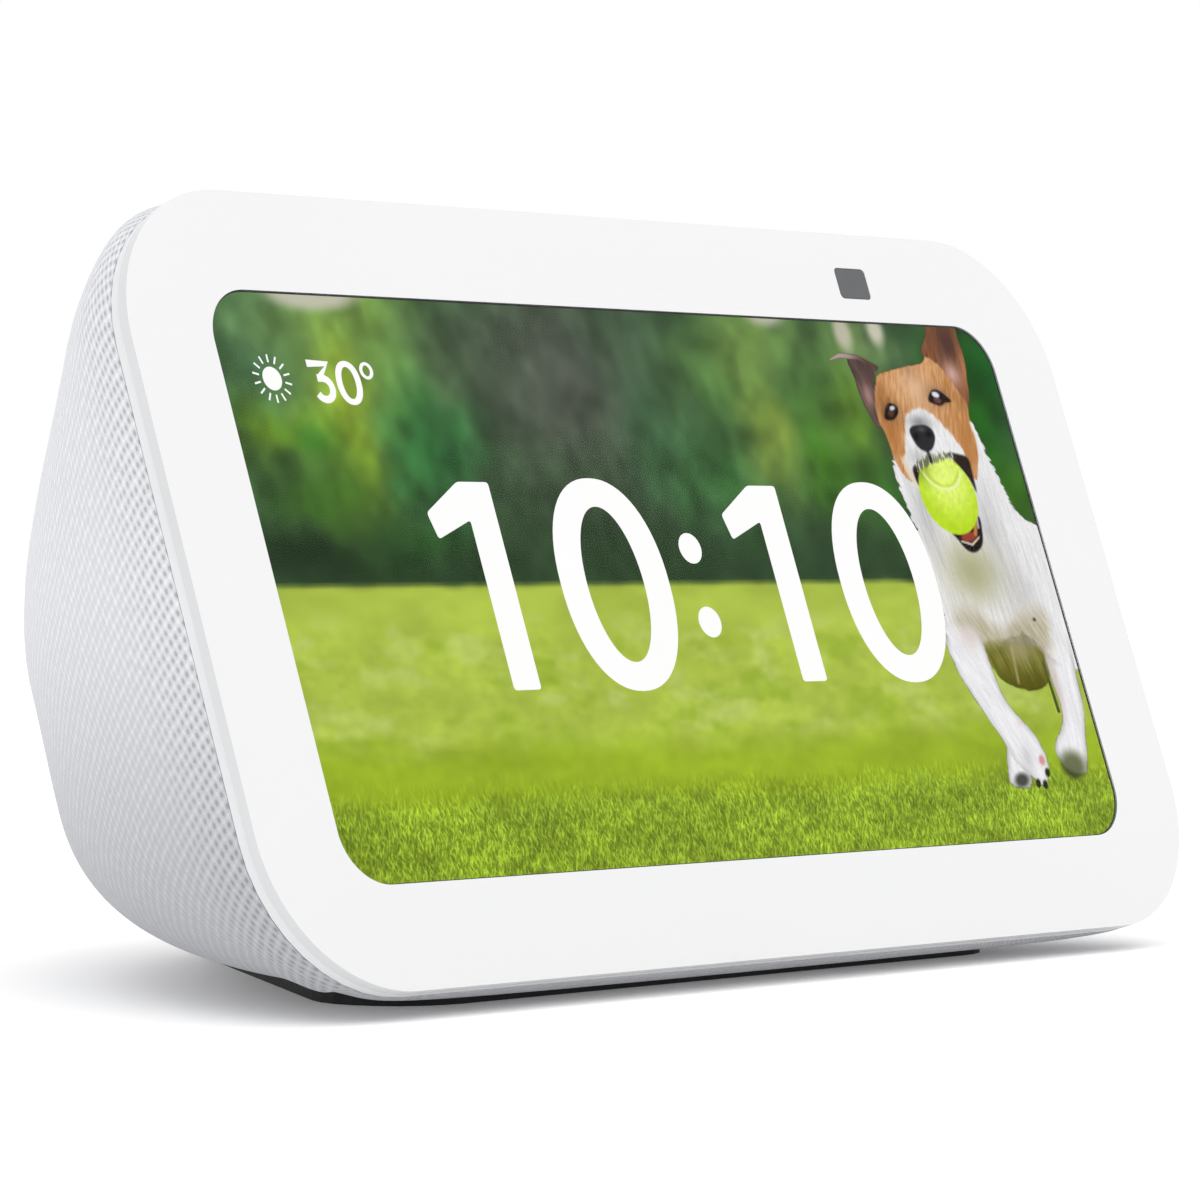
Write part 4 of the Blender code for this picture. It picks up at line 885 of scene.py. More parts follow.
def paint_head(art):
    skull = art.patch([(103.2, 6.4), (104.8, 6.0), (107.2, 5.5), (109.4, 5.1), (111.6, 4.8),
                       (113.1, 4.0), (114.8, 4.9), (116.2, 6.6), (117.6, 8.6), (118.2, 10.4),
                       (117.7, 12.2), (118.0, 13.8), (117.6, 15.8), (116.8, 17.6), (115.9, 19.2),
                       (114.0, 17.4), (108.0, 18.8), (104.2, 19.6), (102.6, 18.2), (101.9, 16.2),
                       (101.6, 13.8), (101.0, 11.6), (101.6, 9.2), (102.3, 7.6)])
    coat = tinged(art, fur(art, (220, 168, 120), (180, 122, 68), 108, 101, 1.2),
                  ((230, 190, 154), 0.8, 109.4, 8.0, 3.0, 2.6),
                  ((166, 104, 46), 0.65, 102.8, 13.0, 1.5, 3.8),
                  ((176, 116, 56), 0.7, 116.2, 14.4, 1.6, 3.4),
                  ((150, 98, 56), 0.5, 117.6, 9.6, 1.0, 1.4),
                  ((160, 106, 62), 0.5, 103.2, 8.4, 1.1, 1.4))
    coat = dimmed(art, coat, (0.12, 109.0, 5.6, 1.0, 1.4))
    art.lay(coat, soft(fur_edge(art, skull, 84, 0.2, 102), 0.3))
    beard = art.patch([(103.4, 16.6), (105.0, 16.0), (105.6, 18.4), (105.4, 20.4), (104.2, 19.8),
                       (103.6, 18.4)])
    art.spot((228, 222, 206), fur_edge(art, beard, 80, 0.3, 104), 0.5, 0.85)
    blaze = art.patch([(106.0, 11.8), (107.0, 10.9), (109.0, 10.4), (110.9, 10.9), (112.4, 12.2),
                       (113.8, 13.8), (115.0, 15.6), (114.6, 16.6), (110.0, 17.0), (106.4, 18.2),
                       (104.4, 18.0), (104.2, 16.0), (105.0, 14.0)])
    coat = fur(art, (246, 246, 248), (218, 217, 218), 92, 107, 1.2, 0.8)
    coat = dimmed(art, coat, (0.16, 106.2, 16.6, 1.6, 1.2))
    art.lay(coat, soft(fur_edge(art, blaze, 80, 0.28, 108), 0.5))


def paint_eyes(art):
    art.tone(0.62, 0.9 * art.glow(103.6, 10.8, 1.7, 1.3))
    left = art.patch([(102.3, 11.8), (102.9, 10.6), (103.9, 9.9), (105.0, 10.2), (105.1, 10.9),
                      (104.4, 11.6), (103.4, 12.0)])
    art.spot((28, 20, 18), left, 0.3)
    art.spot((98, 62, 38), art.oval(103.7, 11.1, 0.6, 0.42, -20), 0.3, 0.8)
    art.spot((218, 222, 236), art.oval(104.15, 10.5, 0.5, 0.26, -12), 0.25, 0.95)
    art.tone(0.66, 0.85 * art.glow(113.1, 8.8, 2.2, 1.3))
    right = art.patch([(111.2, 9.4), (111.8, 8.5), (112.8, 8.0), (114.0, 8.3), (115.4, 9.4),
                       (114.2, 9.6), (113.2, 10.0), (112.0, 9.8)])
    art.spot((32, 22, 22), right, 0.3)
    art.spot((120, 80, 76), art.oval(112.9, 9.35, 0.72, 0.35, 4), 0.3, 0.8)
    art.spot((232, 234, 246), art.oval(112.8, 8.65, 0.66, 0.36, 8), 0.25, 0.95)


def paint_nose(art):
    art.haze((120, 118, 120), 0.75, 108.4, 12.2, 1.9, 0.9)
    nose = art.patch([(106.1, 13.4), (106.8, 12.7), (108.0, 12.5), (109.4, 12.5), (110.3, 13.0),
                      (110.5, 13.9), (109.9, 14.9), (109.0, 15.6), (107.8, 15.7), (106.7, 15.0)])
    art.spot((40, 38, 41), nose, 0.35)
    art.haze((92, 92, 96), 0.7, 108.4, 13.0, 0.6, 0.35)
    for x, y, degrees in ((107.1, 13.9, 20), (109.5, 13.6, -20)):
        art.spot((12, 10, 11), art.oval(x, y, 0.5, 0.4, degrees), 0.25)


def paint_mouth(art):
    left = art.patch([(104.8, 17.9), (105.8, 17.4), (106.0, 19.2), (105.2, 20.0), (104.8, 19.2)])
    art.spot((34, 28, 22), left, 0.4)
    right = art.patch([(112.0, 15.9), (114.0, 16.0), (115.5, 16.5), (115.5, 18.4), (115.3, 20.6),
                       (114.6, 19.0), (113.0, 17.0)])
    art.spot((38, 30, 26), right, 0.4)
    lips = art.patch([(108.6, 25.2), (111.6, 24.6), (114.3, 23.6), (114.3, 25.4), (113.6, 27.1),
                      (112.1, 28.0), (110.6, 27.8), (109.4, 26.5)])
    art.spot((30, 22, 24), lips, 0.35)
    art.spot((150, 62, 50), art.oval(111.5, 26.1, 1.4, 0.65, -6), 0.4)
    art.spot((206, 134, 70), art.stroke((113.4, 24.6, 0.35), (112.9, 25.8, 0.3)), 0.3, 0.9)
    teeth = art.stroke((110.0, 26.7, 0.11), (111.8, 27.1, 0.14), (113.4, 26.2, 0.1))
    art.spot((232, 214, 190), teeth, 0.2, 0.95)
    art.spot((206, 198, 206), art.stroke((114.0, 23.6, 0.2), (113.8, 25.0, 0.16)), 0.25, 0.85)


def paint_ball(art):
    ball = art.oval(109.95, 21.05, 5.05, 4.85)
    shade = smooth_step(np.hypot(art.x - 110.4, art.y - 19.0), 1.0, 6.6)
    felt = blend(colour(226, 246, 118), colour(184, 220, 36), shade)
    felt = felt * (0.93 + 0.14 * fractal_noise(art.x / 0.4, art.y / 0.4, 111, 3))[..., None]
    art.lay(dimmed(art, felt, (0.22, 106.2, 18.2, 1.8, 1.4)), soft(ball, 0.25))
    arch = np.hypot((art.x - 109.9) / 1.15, art.y - 17.2)
    inner = soft(ball + 0.2, 0.3) * smooth_step(art.y, 17.6, 18.8)
    art.spot((170, 196, 36), np.abs(arch - 2.75) - 0.16, 0.4, 0.5 * inner)
    art.spot((236, 246, 176), np.abs(arch - 3.15) - 0.18, 0.3, 0.85 * inner)


def paint_upper_lip(art):
    """Dark and white hairs of the upper lip over the ball."""
    fringe = art.patch([(105.2, 17.6), (107.0, 16.6), (110.0, 16.0), (112.4, 15.8), (113.0, 16.4),
                        (110.6, 16.7), (108.4, 17.3), (106.0, 18.1)])
    art.spot((96, 100, 70), fur_edge(art, fringe, 96, 0.4, 122), 0.5, 0.9)
    hairs = smooth_step(streaks(art.x, art.y, 96, 1.4, 0.18, 121), 0.52, 0.7)
    art.spot((226, 226, 218), fur_edge(art, fringe - 0.1, 96, 0.5, 123), 0.4, hairs)
    art.spot((30, 27, 27), art.stroke((108.4, 15.6, 0.3), (108.5, 16.8, 0.35)), 0.35, 0.8)


def lit_fur(name):
    look = lit_look(name)
    hairs = look.noise(look.stretched(look.uv("flat"), (6.0, 2.6, 0)), 1.0, 3.0, 0.6)
    tone = look.spread(hairs, 0.25, 0.75, 0.94, 1.05)
    look.drive("Emission Color", look.mix(1.0, look.attribute("paint"), tone, "MULTIPLY"))
    look.drive("Alpha", look.spread(look.attribute("paint", 3), 0.15, 0.85))
    return look.material


def build_dog():
    """A generic small dog that runs towards the viewer with a ball."""
    art = Painting(DOG_LEFT, PICTURE_WIDTH, 0, DOG_BOTTOM, DOG_PITCH)
    for paint in (paint_chest, paint_belly, paint_legs, paint_ears, paint_head, paint_mouth, paint_ball,
                  paint_upper_lip, paint_nose, paint_eyes):
        paint(art)
    inside = inside_screen(art) & (art.cover > 0.04)
    painted_piece("display_picture_dog", art, DOG_DEPTH, inside, lit_fur("display_picture_dog"))


# ---------------------------------------------------------------- clock and weather signs

SIGN_SHIFT = (-0.45, 0.35)    # millimetres, right and down
SIGN_THICKNESS = 0.00003
CLOCK_TOP = 19.3
CLOCK_BOTTOM = 43.2
CLOCK_STROKE = 4.0
CLOCK_ROUNDNESS = 2.2
ONE_RIGHT_SIDES = (34.5, 80.0)
NOUGHT_MIDDLES = (50.0, 95.3)
NOUGHT_SIZE = (8.45, 11.9)    # half width and half height
DOT_X = 63.3
DOT_HEIGHTS = (27.2, 35.6)
DOT_RADIUS = 1.75
FIGURE_STROKE = 0.8
SUN_X = 7.3
SUN_Y = 9.1
SUN_RADIUS = 1.28
SUN_RAYS = 14
RAY_REACH = (1.75, 2.6)
RAY_WIDTH = 0.2


def picture_point(x, y):
    """A place in the signs' own millimetres, as a place on the face."""
    across = x + SIGN_SHIFT[0] - PICTURE_WIDTH / 2
    up = PICTURE_HEIGHT / 2 - y - SIGN_SHIFT[1]
    return across * MM, SCREEN_MIDDLE + up * MM


def super_ring(x, y, half_width, half_height, stroke, exponent, steps=64):
    """Outer and inner outlines of a numeral nought, thinner above and below than at its sides."""
    outlines = []
    for inset, power in ((0.0, exponent), (stroke, exponent * 0.93)):
        outline = []
        for step in range(steps):
            angle = 2 * math.pi * step / steps
            across = math.copysign(abs(math.cos(angle)) ** (2 / power), math.cos(angle))
            down = math.copysign(abs(math.sin(angle)) ** (2 / power), math.sin(angle))
            place = (x + (half_width - inset) * across, y + (half_height - 0.8 * inset) * down)
            outline.append(picture_point(*place))
        outlines.append(outline)
    return outlines


def rounded_polygon(corners, radius, steps=5):
    """A polygon with its corners rounded."""
    points = []
    count = len(corners)
    for index in range(count):
        here = Vector(corners[index])
        start = here + (Vector(corners[index - 1]) - here).normalized() * radius
        end = here + (Vector(corners[(index + 1) % count]) - here).normalized() * radius
        for step in range(steps + 1):
            t = step / steps
            spot = start * (1 - t) ** 2 + here * 2 * t * (1 - t) + end * t ** 2
            points.append(picture_point(spot.x, spot.y))
    return points


def ribbon(route, width):
    """The outline of a stroke with square ends along a route."""
    left = []
    right = []
    for index, spot in enumerate(route):
        before = Vector(route[max(index - 1, 0)])
        after = Vector(route[min(index + 1, len(route) - 1)])
        run = (after - before).normalized()
        side = Vector((-run.y, run.x)) * width / 2
        left.append(picture_point(spot[0] + side.x, spot[1] + side.y))
        right.append(picture_point(spot[0] - side.x, spot[1] - side.y))
    return left + right[::-1]


def disc(x, y, radius):
    return [picture_point(*point) for point in arc(x, y, radius, 0, 345, 23)]


def numeral_one(x, top, bottom, stroke):
    """A one whose flag slopes down to the left; x is its stem's right side."""
    stem = x - stroke
    corners = [(x, top), (x, bottom), (stem, bottom), (stem, top + 4.2), (x - 9.3, top + 6.3),
               (x - 10.1, top + 3.4), (stem - 0.6, top)]
    return rounded_polygon(corners, 0.45)


def numeral_three(x, y, width, height, stroke):
    """A three with a flat top and a slanting neck."""
    half = stroke / 2
    right = x + width - half
    neck = (x + width * 0.42, y + height * 0.42)
    bowl_radius = (height - half - (neck[1] - y)) / 2
    bowl = arc(right - bowl_radius * 1.05, neck[1] + bowl_radius, bowl_radius, -90, 150, 14)
    upper = ribbon([(x + 0.1, y + half), (right - 0.1, y + half), neck], stroke)
    lower = ribbon([(neck[0] - 0.3, neck[1])] + bowl, stroke)
    return upper, lower


def sign(name, outlines, material):
    glass_piece(name, outlines, -SIGN_DEPTH, -SIGN_DEPTH + SIGN_THICKNESS, material)


def lit_white(name):
    look = lit_look(name)
    shimmer = look.noise(look.place(), 60.0, 1.0)
    look.drive("Emission Color", look.mix(shimmer, rgb(253, 253, 252), rgb(255, 255, 255)))
    return look.material


def build_clock(material):
    middle = (CLOCK_TOP + CLOCK_BOTTOM) / 2 - 0.05
    for index, (one_x, nought_x) in enumerate(zip(ONE_RIGHT_SIDES, NOUGHT_MIDDLES)):
        one = numeral_one(one_x, CLOCK_TOP + 0.6, CLOCK_BOTTOM - 0.6, CLOCK_STROKE)
        sign(f"clock_one_{index + 1}", [one], material)
        ring = super_ring(nought_x, middle, *NOUGHT_SIZE, CLOCK_STROKE, CLOCK_ROUNDNESS)
        sign(f"clock_nought_{index + 1}", ring, material)
    for index, y in enumerate(DOT_HEIGHTS):
        sign(f"clock_dot_{index + 1}", [disc(DOT_X, y, DOT_RADIUS)], material)


def build_weather(material):
    """Sun sign, a two-figure temperature and its degree ring."""
    upper, lower = numeral_three(12.5, 6.9, 3.4, 4.7, FIGURE_STROKE)
    sign("temperature_three_top", [upper], material)
    sign("temperature_three_bowl", [lower], material)
    nought = super_ring(18.0, 9.3, 1.75, 2.4, FIGURE_STROKE, CLOCK_ROUNDNESS, 40)
    sign("temperature_nought", nought, material)
    sign("temperature_degree", super_ring(20.9, 7.9, 0.95, 0.95, 0.42, 2.0, 28), material)
    sign("sun_disc", [disc(SUN_X, SUN_Y, SUN_RADIUS)], material)
    for ray in range(SUN_RAYS):
        angle = 2 * math.pi * (ray + 0.5) / SUN_RAYS
        ends = [(SUN_X + reach * math.cos(angle), SUN_Y + reach * math.sin(angle)) for reach in RAY_REACH]
        sign(f"sun_ray_{ray + 1:02d}", [ribbon(ends, RAY_WIDTH)], material)


# ---------------------------------------------------------------- knitted cover

def slope_distance(height):
    return (height - GLASS_LIFT + SHELL_FRONT * SIN_TILT) / COS_TILT


def front_edge(height, inset):
    """Half width of the body's front edge at a height, and its Y."""
    setback = FRAME_SETBACK + inset
    radius = FACE_RADIUS - setback
    along = min(max(slope_distance(height), setback), FACE_HEIGHT - setback)
    corner = max(0.0, along - (FACE_HEIGHT - setback - radius), setback + radius - along)
    corner = min(corner, radius)
    half_width = WIDTH / 2 - setback - radius + math.sqrt(radius ** 2 - corner ** 2)
    return half_width, FRONT_Y + along * SIN_TILT + SHELL_FRONT * COS_TILT


def height_limits(inset):
    setback = FRAME_SETBACK + inset
    drop = SHELL_FRONT * SIN_TILT
    return GLASS_LIFT + (FACE_HEIGHT - setback) * COS_TILT - drop, GLASS_LIFT + setback * COS_TILT - drop


def bezier(start, handle_a, handle_b, end, steps):
    share = np.linspace(0, 1, steps + 1)[:, None]
    start, handle_a, handle_b, end = (np.array(point) for point in (start, handle_a, handle_b, end))
    points = ((1 - share) ** 3 * start + 3 * share * (1 - share) ** 2 * handle_a
              + 3 * share ** 2 * (1 - share) * handle_b + share ** 3 * end)
    return [tuple(point) for point in points]


def back_profile(inset, upper_steps, lower_steps):
    """The back's side profile: (distance behind the front edge, height), from top to bottom."""
    top, bottom = height_limits(inset)
    bulge = FRONT_Y + BULGE_BACK - inset - front_edge(BULGE_HEIGHT, inset)[1]
    upper = bezier((TOP_FLAT, top), (TOP_FLAT + TOP_HANDLE - inset, top),
                   (bulge, BULGE_HEIGHT + BULGE_HANDLE_UP), (bulge, BULGE_HEIGHT), upper_steps)
    flat = BOTTOM_FLAT - inset
    level = UNDERSIDE_HEIGHT + inset
    lower = bezier((bulge, BULGE_HEIGHT), (bulge, BULGE_HEIGHT - BULGE_HANDLE_DOWN),
                   (flat + BOTTOM_HANDLE, level), (flat, level), lower_steps)
    topside = [(TOP_FLAT * share, top) for share in (0.0, 0.5)]
    far = [flat + (LIP_END - flat) * step / 12 for step in range(1, 12)]
    near = [LIP_END * (1 - step / 22) for step in range(23)]
    underside = [(distance, bottom + (level - bottom) * float(smooth_step(distance, 0.0, UNDERSIDE_EASE)))
                 for distance in far + near]
    return topside + upper + lower[1:] + underside


def lip_drop(behind, height, inset):
    """How far the front lip hangs below the smooth underside."""
    bottom = height_limits(inset)[1]
    rise = np.sin(np.minimum(behind / LIP_RUN, 1.0) * math.pi / 2)
    fade = 1 - smooth_step(behind, LIP_RUN, LIP_END)
    return LIP_DROP * rise * fade * math.exp(-max(height - bottom, 0.0) / LIP_FADE)


def level_section(distance, height, inset, across):
    half_width, front = front_edge(height, inset)
    top = height_limits(inset)[0]
    exponent = ROUNDNESS + TOP_SQUARENESS * math.exp((height - top) / TOP_SQUARENESS_REACH)
    angle = np.linspace(0, math.pi, across + 1)
    side = np.sign(np.cos(angle)) * np.abs(np.cos(angle)) ** (2 / exponent)
    back = np.abs(np.sin(angle)) ** (2 / exponent)
    back[[0, -1]] = 0
    behind = distance * back
    return np.stack([-half_width * side, front + behind, height - lip_drop(behind, height, inset)], 1)


ACROSS = 190                  # faces across each level row
UPPER_STEPS = 58
LOWER_STEPS = 42
ROW_LENGTH = 105.0            # millimetres of knit from the front edge to the middle of the back
HEM = 0.00016
KNIT_ROWS = (0.62, -0.70, 0)  # cells a millimetre along each of the knit's two directions
KNIT_COLUMNS = (0.92, 0.37, 0)
HOLE_SHADE_REACH = 12.0         # millimetres behind the front edge over which the holes' painted shade lightens
PAINTED_SHADE_FROM = 0.044              # the knit is painted darker between these heights, towards the table, as painted shade
PAINTED_SHADE_TO = 0.004


def body_rows(inset):
    profile = back_profile(inset, UPPER_STEPS, LOWER_STEPS)
    return np.array([level_section(distance, height, inset, ACROSS) for distance, height in profile])


def knit_places(rows):
    """Places in the knit, in millimetres: along each level row, and down each column from the bulge."""
    steps = np.linalg.norm(np.diff(rows, axis=1), axis=2)
    along = np.concatenate([np.zeros((len(rows), 1)), np.cumsum(steps, 1)], 1)
    along = along / along[:, -1:] * 2 * ROW_LENGTH
    steps = np.linalg.norm(np.diff(rows, axis=0), axis=2)
    down = np.concatenate([np.zeros((1, rows.shape[1])), np.cumsum(steps, 0)], 0) / MM
    bulge = int(np.argmin(np.abs(rows[:, 0, 2] - BULGE_HEIGHT)))
    return np.stack([along, down - down[bulge]], 2)


def cover_mesh():
    """A closed skin between the outer surface and one fabric thickness under it, open at the front."""
    skins = [body_rows(0.0), body_rows(FABRIC_THICKNESS)]
    places = knit_places(skins[0])
    shape = bmesh.new()
    knit = shape.loops.layers.uv.new("knit")
    grids = [[[shape.verts.new(point) for point in row] for row in skin] for skin in skins]
    place_of = {}
    for grid in grids:
        for row, row_places in zip(grid, places):
            place_of.update(zip(row, row_places))
    for outward, grid in zip((True, False), grids):
        for upper, lower in zip(grid, grid[1:]):
            for column in range(ACROSS):
                corners = (upper[column], lower[column], lower[column + 1], upper[column + 1])
                shape.faces.new(corners if outward else corners[::-1])
    rims = []
    for grid in grids:
        left = [row[0] for row in grid]
        right = [row[-1] for row in grid[::-1]]
        rims.append(left[:-1] + grid[-1][:-1] + right[:-1] + grid[0][:0:-1])
    for index in range(len(rims[0])):
        following = (index + 1) % len(rims[0])
        shape.faces.new((rims[0][index], rims[1][index], rims[1][following], rims[0][following]))
    for face in shape.faces:
        for loop in face.loops:
            loop[knit].uv = place_of[loop.vert]
    bmesh.ops.recalc_face_normals(shape, faces=shape.faces[:])
    mesh = bpy.data.meshes.new("knitted_cover")
    shape.to_mesh(mesh)
    shape.free()
    return mesh


def foot_outline(margin, steps=12):
    """The foot's rounded trapezium grown by a margin."""
    front = FRONT_Y + FOOT_FRONT
    back = FRONT_Y + FOOT_BACK
    corners = ((-FOOT_FRONT_HALF_WIDTH, front, FOOT_FRONT_RADIUS),
               (FOOT_FRONT_HALF_WIDTH, front, FOOT_FRONT_RADIUS),
               (FOOT_BACK_HALF_WIDTH, back, FOOT_BACK_RADIUS),
               (-FOOT_BACK_HALF_WIDTH, back, FOOT_BACK_RADIUS))
    points = []
    for index, (x, y, radius) in enumerate(corners):
        corner = Vector((x, y))
        before = (Vector(corners[index - 1][:2]) - corner).normalized()
        after = (Vector(corners[(index + 1) % 4][:2]) - corner).normalized()
        half_angle = before.angle(after) / 2
        centre = corner + (before + after).normalized() * (radius / math.sin(half_angle))
        spoke = corner + before * (radius / math.tan(half_angle)) - centre
        start = math.degrees(math.atan2(spoke.y, spoke.x))
        sweep = 180 - 2 * math.degrees(half_angle)
        points += arc(centre.x, centre.y, radius + margin, start, start + sweep, steps)
    return points


def cutter(name, outline, low, high, matrix):
    mesh = flat_mesh(name, [outline], low, high)
    mesh.transform(matrix)
    item = bpy.data.objects.new(name, mesh)
    bpy.context.scene.collection.objects.link(item)
    return item


def knit_look(name):
    """A knit on the bias, open enough to show a hole between every four yarns; the holes are painted dark as
    shade, the yarn's crests lighter as painted highlight, and the knit darker towards the table as painted
    shade.
    """
    look = Look(name, Roughness=0.85, Sheen_Weight=0.25, Sheen_Roughness=0.5)
    place = look.uv("knit")
    cells = {"X": look.dot(place, KNIT_ROWS), "Y": look.dot(place, KNIT_COLUMNS)}
    lattice = look.add("ShaderNodeCombineXYZ", cells)
    wander = {0: look.noise(place, 0.55, 2.0, output=1), 1: (0.28, 0.28, 0), 2: lattice}
    lattice = look.add("ShaderNodeVectorMath", wander, operation="MULTIPLY_ADD")
    hole = look.add("ShaderNodeTexVoronoi", {"Vector": lattice, "Scale": 1.0, "Randomness": 0.16},
                    voronoi_dimensions="2D", feature="F1")
    fibre = look.noise(place, 7.0, 3.0, 0.6)
    ragged = look.math("ADD", hole, look.math("MULTIPLY", look.math("SUBTRACT", fibre, 0.5), 0.10))
    yarn = look.spread(ragged, 0.12, 0.36)
    # painted shade: the holes between the yarns are painted dark, darkest at the front edge and lighter
    # further back
    along = look.dot(place, (1, 0, 0))
    near_edge = look.spread(look.math("PINGPONG", along, ROW_LENGTH), 0.0, HOLE_SHADE_REACH)
    depth = look.mix(near_edge, rgb(164, 166, 171), rgb(200, 201, 205))
    # painted highlight: the yarn is painted lighter on its crests, as if they catch the light
    crest_highlight = look.spread(ragged, 0.40, 0.68)
    thread = look.mix(crest_highlight, rgb(208, 209, 213), rgb(227, 228, 232))
    colours = look.mix(yarn, depth, thread)
    # painted shade: the knit's colour darkens low on the body, towards the table
    height = look.dot(look.place(), (0, 0, 1))
    low = look.spread(height, PAINTED_SHADE_FROM, PAINTED_SHADE_TO)
    table_shade = look.mix(low, (1, 1, 1, 1), (0.62, 0.62, 0.63, 1))
    look.drive("Base Color", look.mix(1.0, colours, table_shade, "MULTIPLY"))
    twist = look.math("MULTIPLY", fibre, 0.25)
    look.bump(look.math("ADD", look.spread(ragged, 0.12, 0.6), twist), 0.45, 0.0002)
    return look.material


def build_cover():
    mesh = cover_mesh()
    piece = as_piece("knitted_cover", mesh, None, knit_look("knitted_cover"))
    strip = pill(STRIP_LENGTH + 2 * GAP, STRIP_WIDTH + 2 * GAP)
    inlet = arc(0, 0, INLET_SLEEVE_RADIUS + GAP, 0, 352, 44)
    cutters = [cutter("cut_foot", foot_outline(GAP), 0.0, 0.008, Matrix.Identity(4)),
               cutter("cut_strip", strip, -0.006, 0.004, STRIP),
               cutter("cut_inlet", inlet, -0.004, 0.015, INLET)]
    for item in cutters:
        modifier = piece.modifiers.new("opening", "BOOLEAN")
        modifier.operation = "DIFFERENCE"
        modifier.solver = "MANIFOLD"
        modifier.object = item
    apply_modifiers(piece)
    for item in cutters:
        bpy.data.objects.remove(item)
    modifier = piece.modifiers.new("hem", "BEVEL")
    modifier.width = HEM
    modifier.segments = 2
    modifier.limit_method = "ANGLE"
    modifier.angle_limit = math.radians(55)
    apply_modifiers(piece)
    piece.data.shade_smooth()
    piece.data.set_sharp_from_angle(angle=math.radians(50))
    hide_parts("fabric_cover")


# ---------------------------------------------------------------- materials of the CAD nodes

def dress_nodes():
    white = moulded("white_plastic", rgb(217, 218, 219), 0.42)
    key_white = moulded("key_plastic", rgb(240, 241, 242), 0.36)
    shell_white = moulded("shell_plastic", rgb(222, 223, 225), 0.5)
    rubber = moulded("foot_rubber", rgb(38, 38, 40), 0.8, grain=1800.0, relief=0.05, variation=0.12)
    dark = moulded("dark_plastic", rgb(52, 52, 55), 0.5)
    steel = brushed_metal("steel", (0.56, 0.57, 0.58, 1), 0.34)
    aluminium = brushed_metal("aluminium", (0.78, 0.79, 0.80, 1), 0.36)
    board = circuit_board("circuit_board")
    looks = {
        white: ("front_frame", "inlet_sleeve", "button_strip"),
        key_white: ("mute_button", "volume_down_button", "volume_up_button", "shutter_slider"),
        shell_white: ("rear_shell", "speaker_box"),
        rubber: ("foot_pad",),
        dark: ("base_plate", "power_jack", "shutter_blade", "speaker_cable", "power_cable"),
        steel: ("backlight_tray", "display_bracket", "mute_switch", "volume_down_switch", "volume_up_switch",
                "microphone_left", "microphone_right", "ballast_plate", "shield_can", "speaker_basket",
                "speaker_yoke", *(name for name in NODES if "screw" in name)),
        aluminium: ("heat_spreader",),
        board: ("button_board", "main_board"),
        moulded("ferrite", rgb(70, 70, 72), 0.6): ("speaker_magnet",),
        coated_paper("cone_paper"): ("speaker_cone", "dust_cap"),
        moulded("surround_rubber", rgb(44, 44, 46), 0.7): ("speaker_surround",),
        moulded("display_glass", rgb(24, 26, 25), 0.2): ("display_panel", "camera_module"),
        flex_circuit("flex_circuit"): ("display_ribbon", "wifi_antenna"),
    }
    for material, names in looks.items():
        for name in names:
            for slot in NODES[name].material_slots:
                slot.material = material


# ---------------------------------------------------------------- signs on the keys

KEY_TOP = 0.0006
KEY_SIGN_HEIGHT = 0.00005
BAR_LENGTH = 0.0024
BAR_WIDTH = 0.0004
VOLUME_DOWN_X = -0.0125
VOLUME_UP_X = 0.0055
MUTE_X = -0.038
MUTE_RADII = (0.0012, 0.0009)


def key_sign(name, outlines, body, material):
    mesh = flat_mesh(name, outlines, KEY_TOP, KEY_TOP + KEY_SIGN_HEIGHT)
    piece = as_piece(name, mesh, STRIP, material, body)


def bar(x, upright=False):
    size = (BAR_WIDTH, BAR_LENGTH) if upright else (BAR_LENGTH, BAR_WIDTH)
    return rounded_rectangle(*size, BAR_WIDTH * 0.3, x, 0, 3)


def build_key_signs():
    ink = moulded("key_ink", rgb(120, 122, 126), 0.55)
    key_sign("volume_down_sign", [bar(VOLUME_DOWN_X)], "volume_down_key", ink)
    key_sign("volume_up_sign_a", [bar(VOLUME_UP_X)], "volume_up_key", ink)
    key_sign("volume_up_sign_b", [bar(VOLUME_UP_X, True)], "volume_up_key", ink)
    ring = [arc(MUTE_X, 0, radius, 0, 350, 35) for radius in MUTE_RADII]
    key_sign("mute_sign", ring, "mute_key", ink)


# ---------------------------------------------------------------- studio

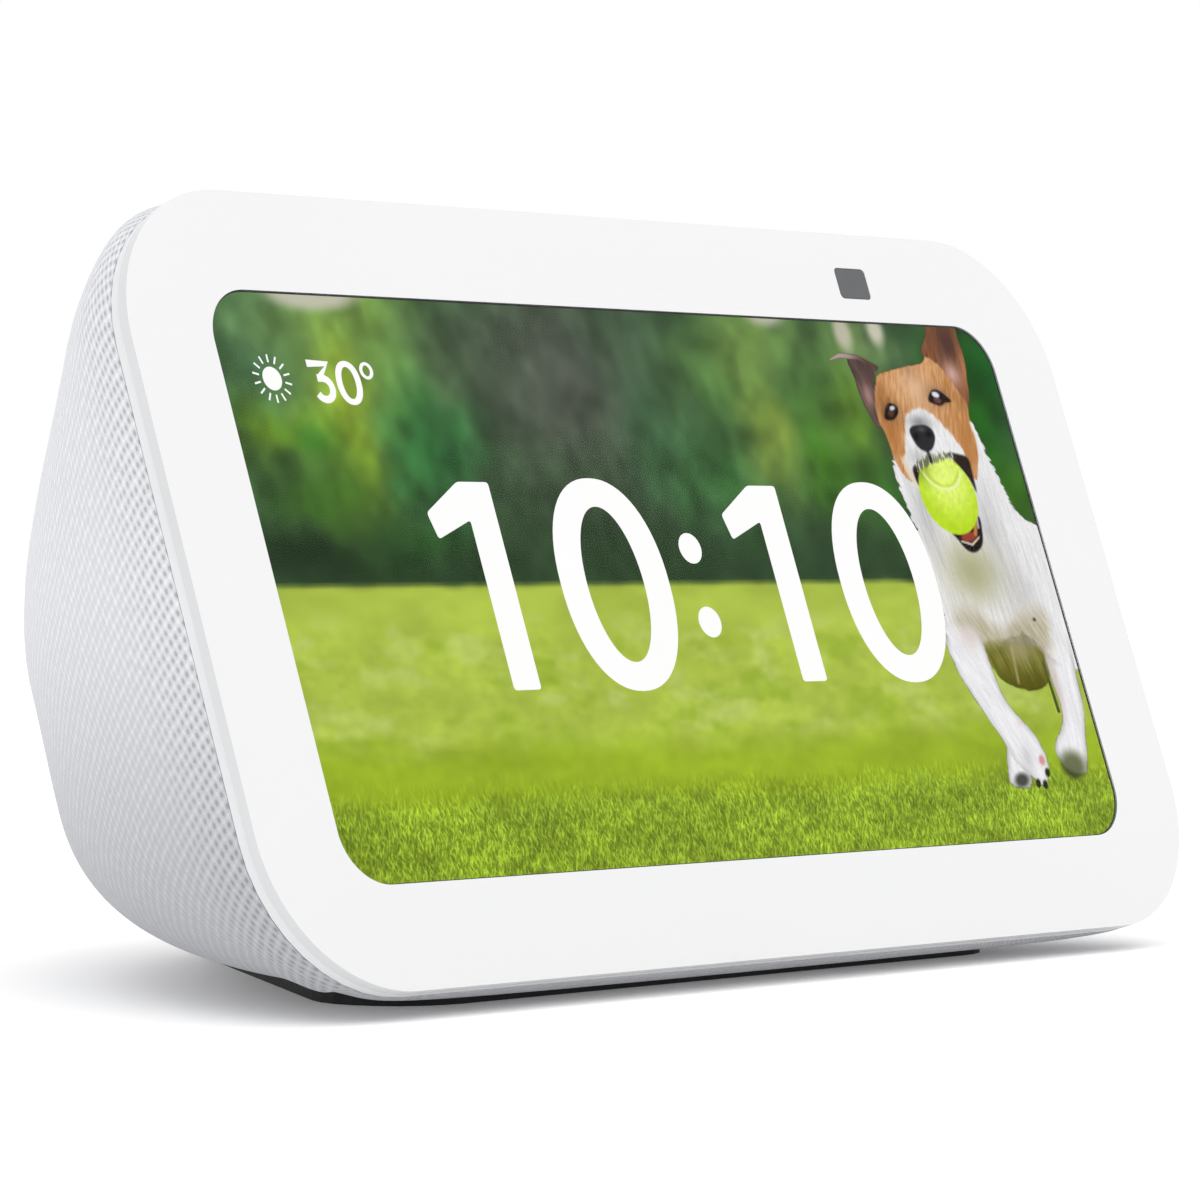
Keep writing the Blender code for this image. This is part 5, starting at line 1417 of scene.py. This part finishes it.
FLOOR_SIZE = 8.0
FLOOR_GLOW = 0.12
SOFTBOX_DIRECTION = (0.15, 0.3, -1.0)
SOFTBOX_WIDTH = 70            # degrees
SOFTBOX_STRENGTH = 0.8
CAMERA_PLACE = (-0.4014, -0.3873, 0.0462)
CAMERA_LENS = 150             # millimetres
CAMERA_SENSOR = 36
CAMERA_TILT = 0.62            # degrees down
CAMERA_HEADING = -47.29       # degrees from facing backwards, to the right


def build_floor():
    bpy.ops.mesh.primitive_grid_add(x_subdivisions=8, y_subdivisions=8, size=FLOOR_SIZE)
    floor = bpy.context.object
    floor.name = "floor"
    look = Look("floor", Roughness=0.9, Specular_IOR_Level=0.0, Emission_Color=(1, 1, 1, 1),
                Emission_Strength=FLOOR_GLOW)
    patches = look.noise(look.place(), 3.0, 2.0)
    look.drive("Base Color", look.mix(patches, (0.93, 0.93, 0.93, 1), (0.94, 0.94, 0.94, 1)))
    floor.data.materials.append(look.material)


def build_world():
    world = bpy.data.worlds.new("studio")
    bpy.context.scene.world = world
    world.use_nodes = True
    background = world.node_tree.nodes["Background"]
    background.inputs["Color"].default_value = (1, 1, 1, 1)
    background.inputs["Strength"].default_value = 1.0


def add_soft_sun(name, direction, spread_degrees, strength):
    """A distant light as wide as a large softbox, so the floor is lit evenly everywhere."""
    light = bpy.data.lights.new(name, "SUN")
    light.angle = math.radians(spread_degrees)
    light.energy = strength
    item = bpy.data.objects.new(name, light)
    item.rotation_euler = Vector(direction).to_track_quat("-Z", "Y").to_euler()
    bpy.context.scene.collection.objects.link(item)


def build_studio():
    build_floor()
    build_world()
    add_soft_sun("overhead_softbox", SOFTBOX_DIRECTION, SOFTBOX_WIDTH, SOFTBOX_STRENGTH)
    bpy.context.scene.view_settings.view_transform = "Standard"


def build_camera():
    data = bpy.data.cameras.new("camera")
    data.lens = CAMERA_LENS
    data.sensor_width = CAMERA_SENSOR
    camera = bpy.data.objects.new("camera", data)
    camera.location = CAMERA_PLACE
    camera.rotation_euler = (math.radians(90 - CAMERA_TILT), 0, math.radians(CAMERA_HEADING))
    bpy.context.scene.collection.objects.link(camera)
    bpy.context.scene.camera = camera


# ---------------------------------------------------------------- assembly

build_camera()
build_studio()
dress_nodes()
build_bezel()
build_panes()
build_picture()
build_dog()
SIGN_WHITE = lit_white("sign_white")
build_clock(SIGN_WHITE)
build_weather(SIGN_WHITE)
build_cover()
build_key_signs()
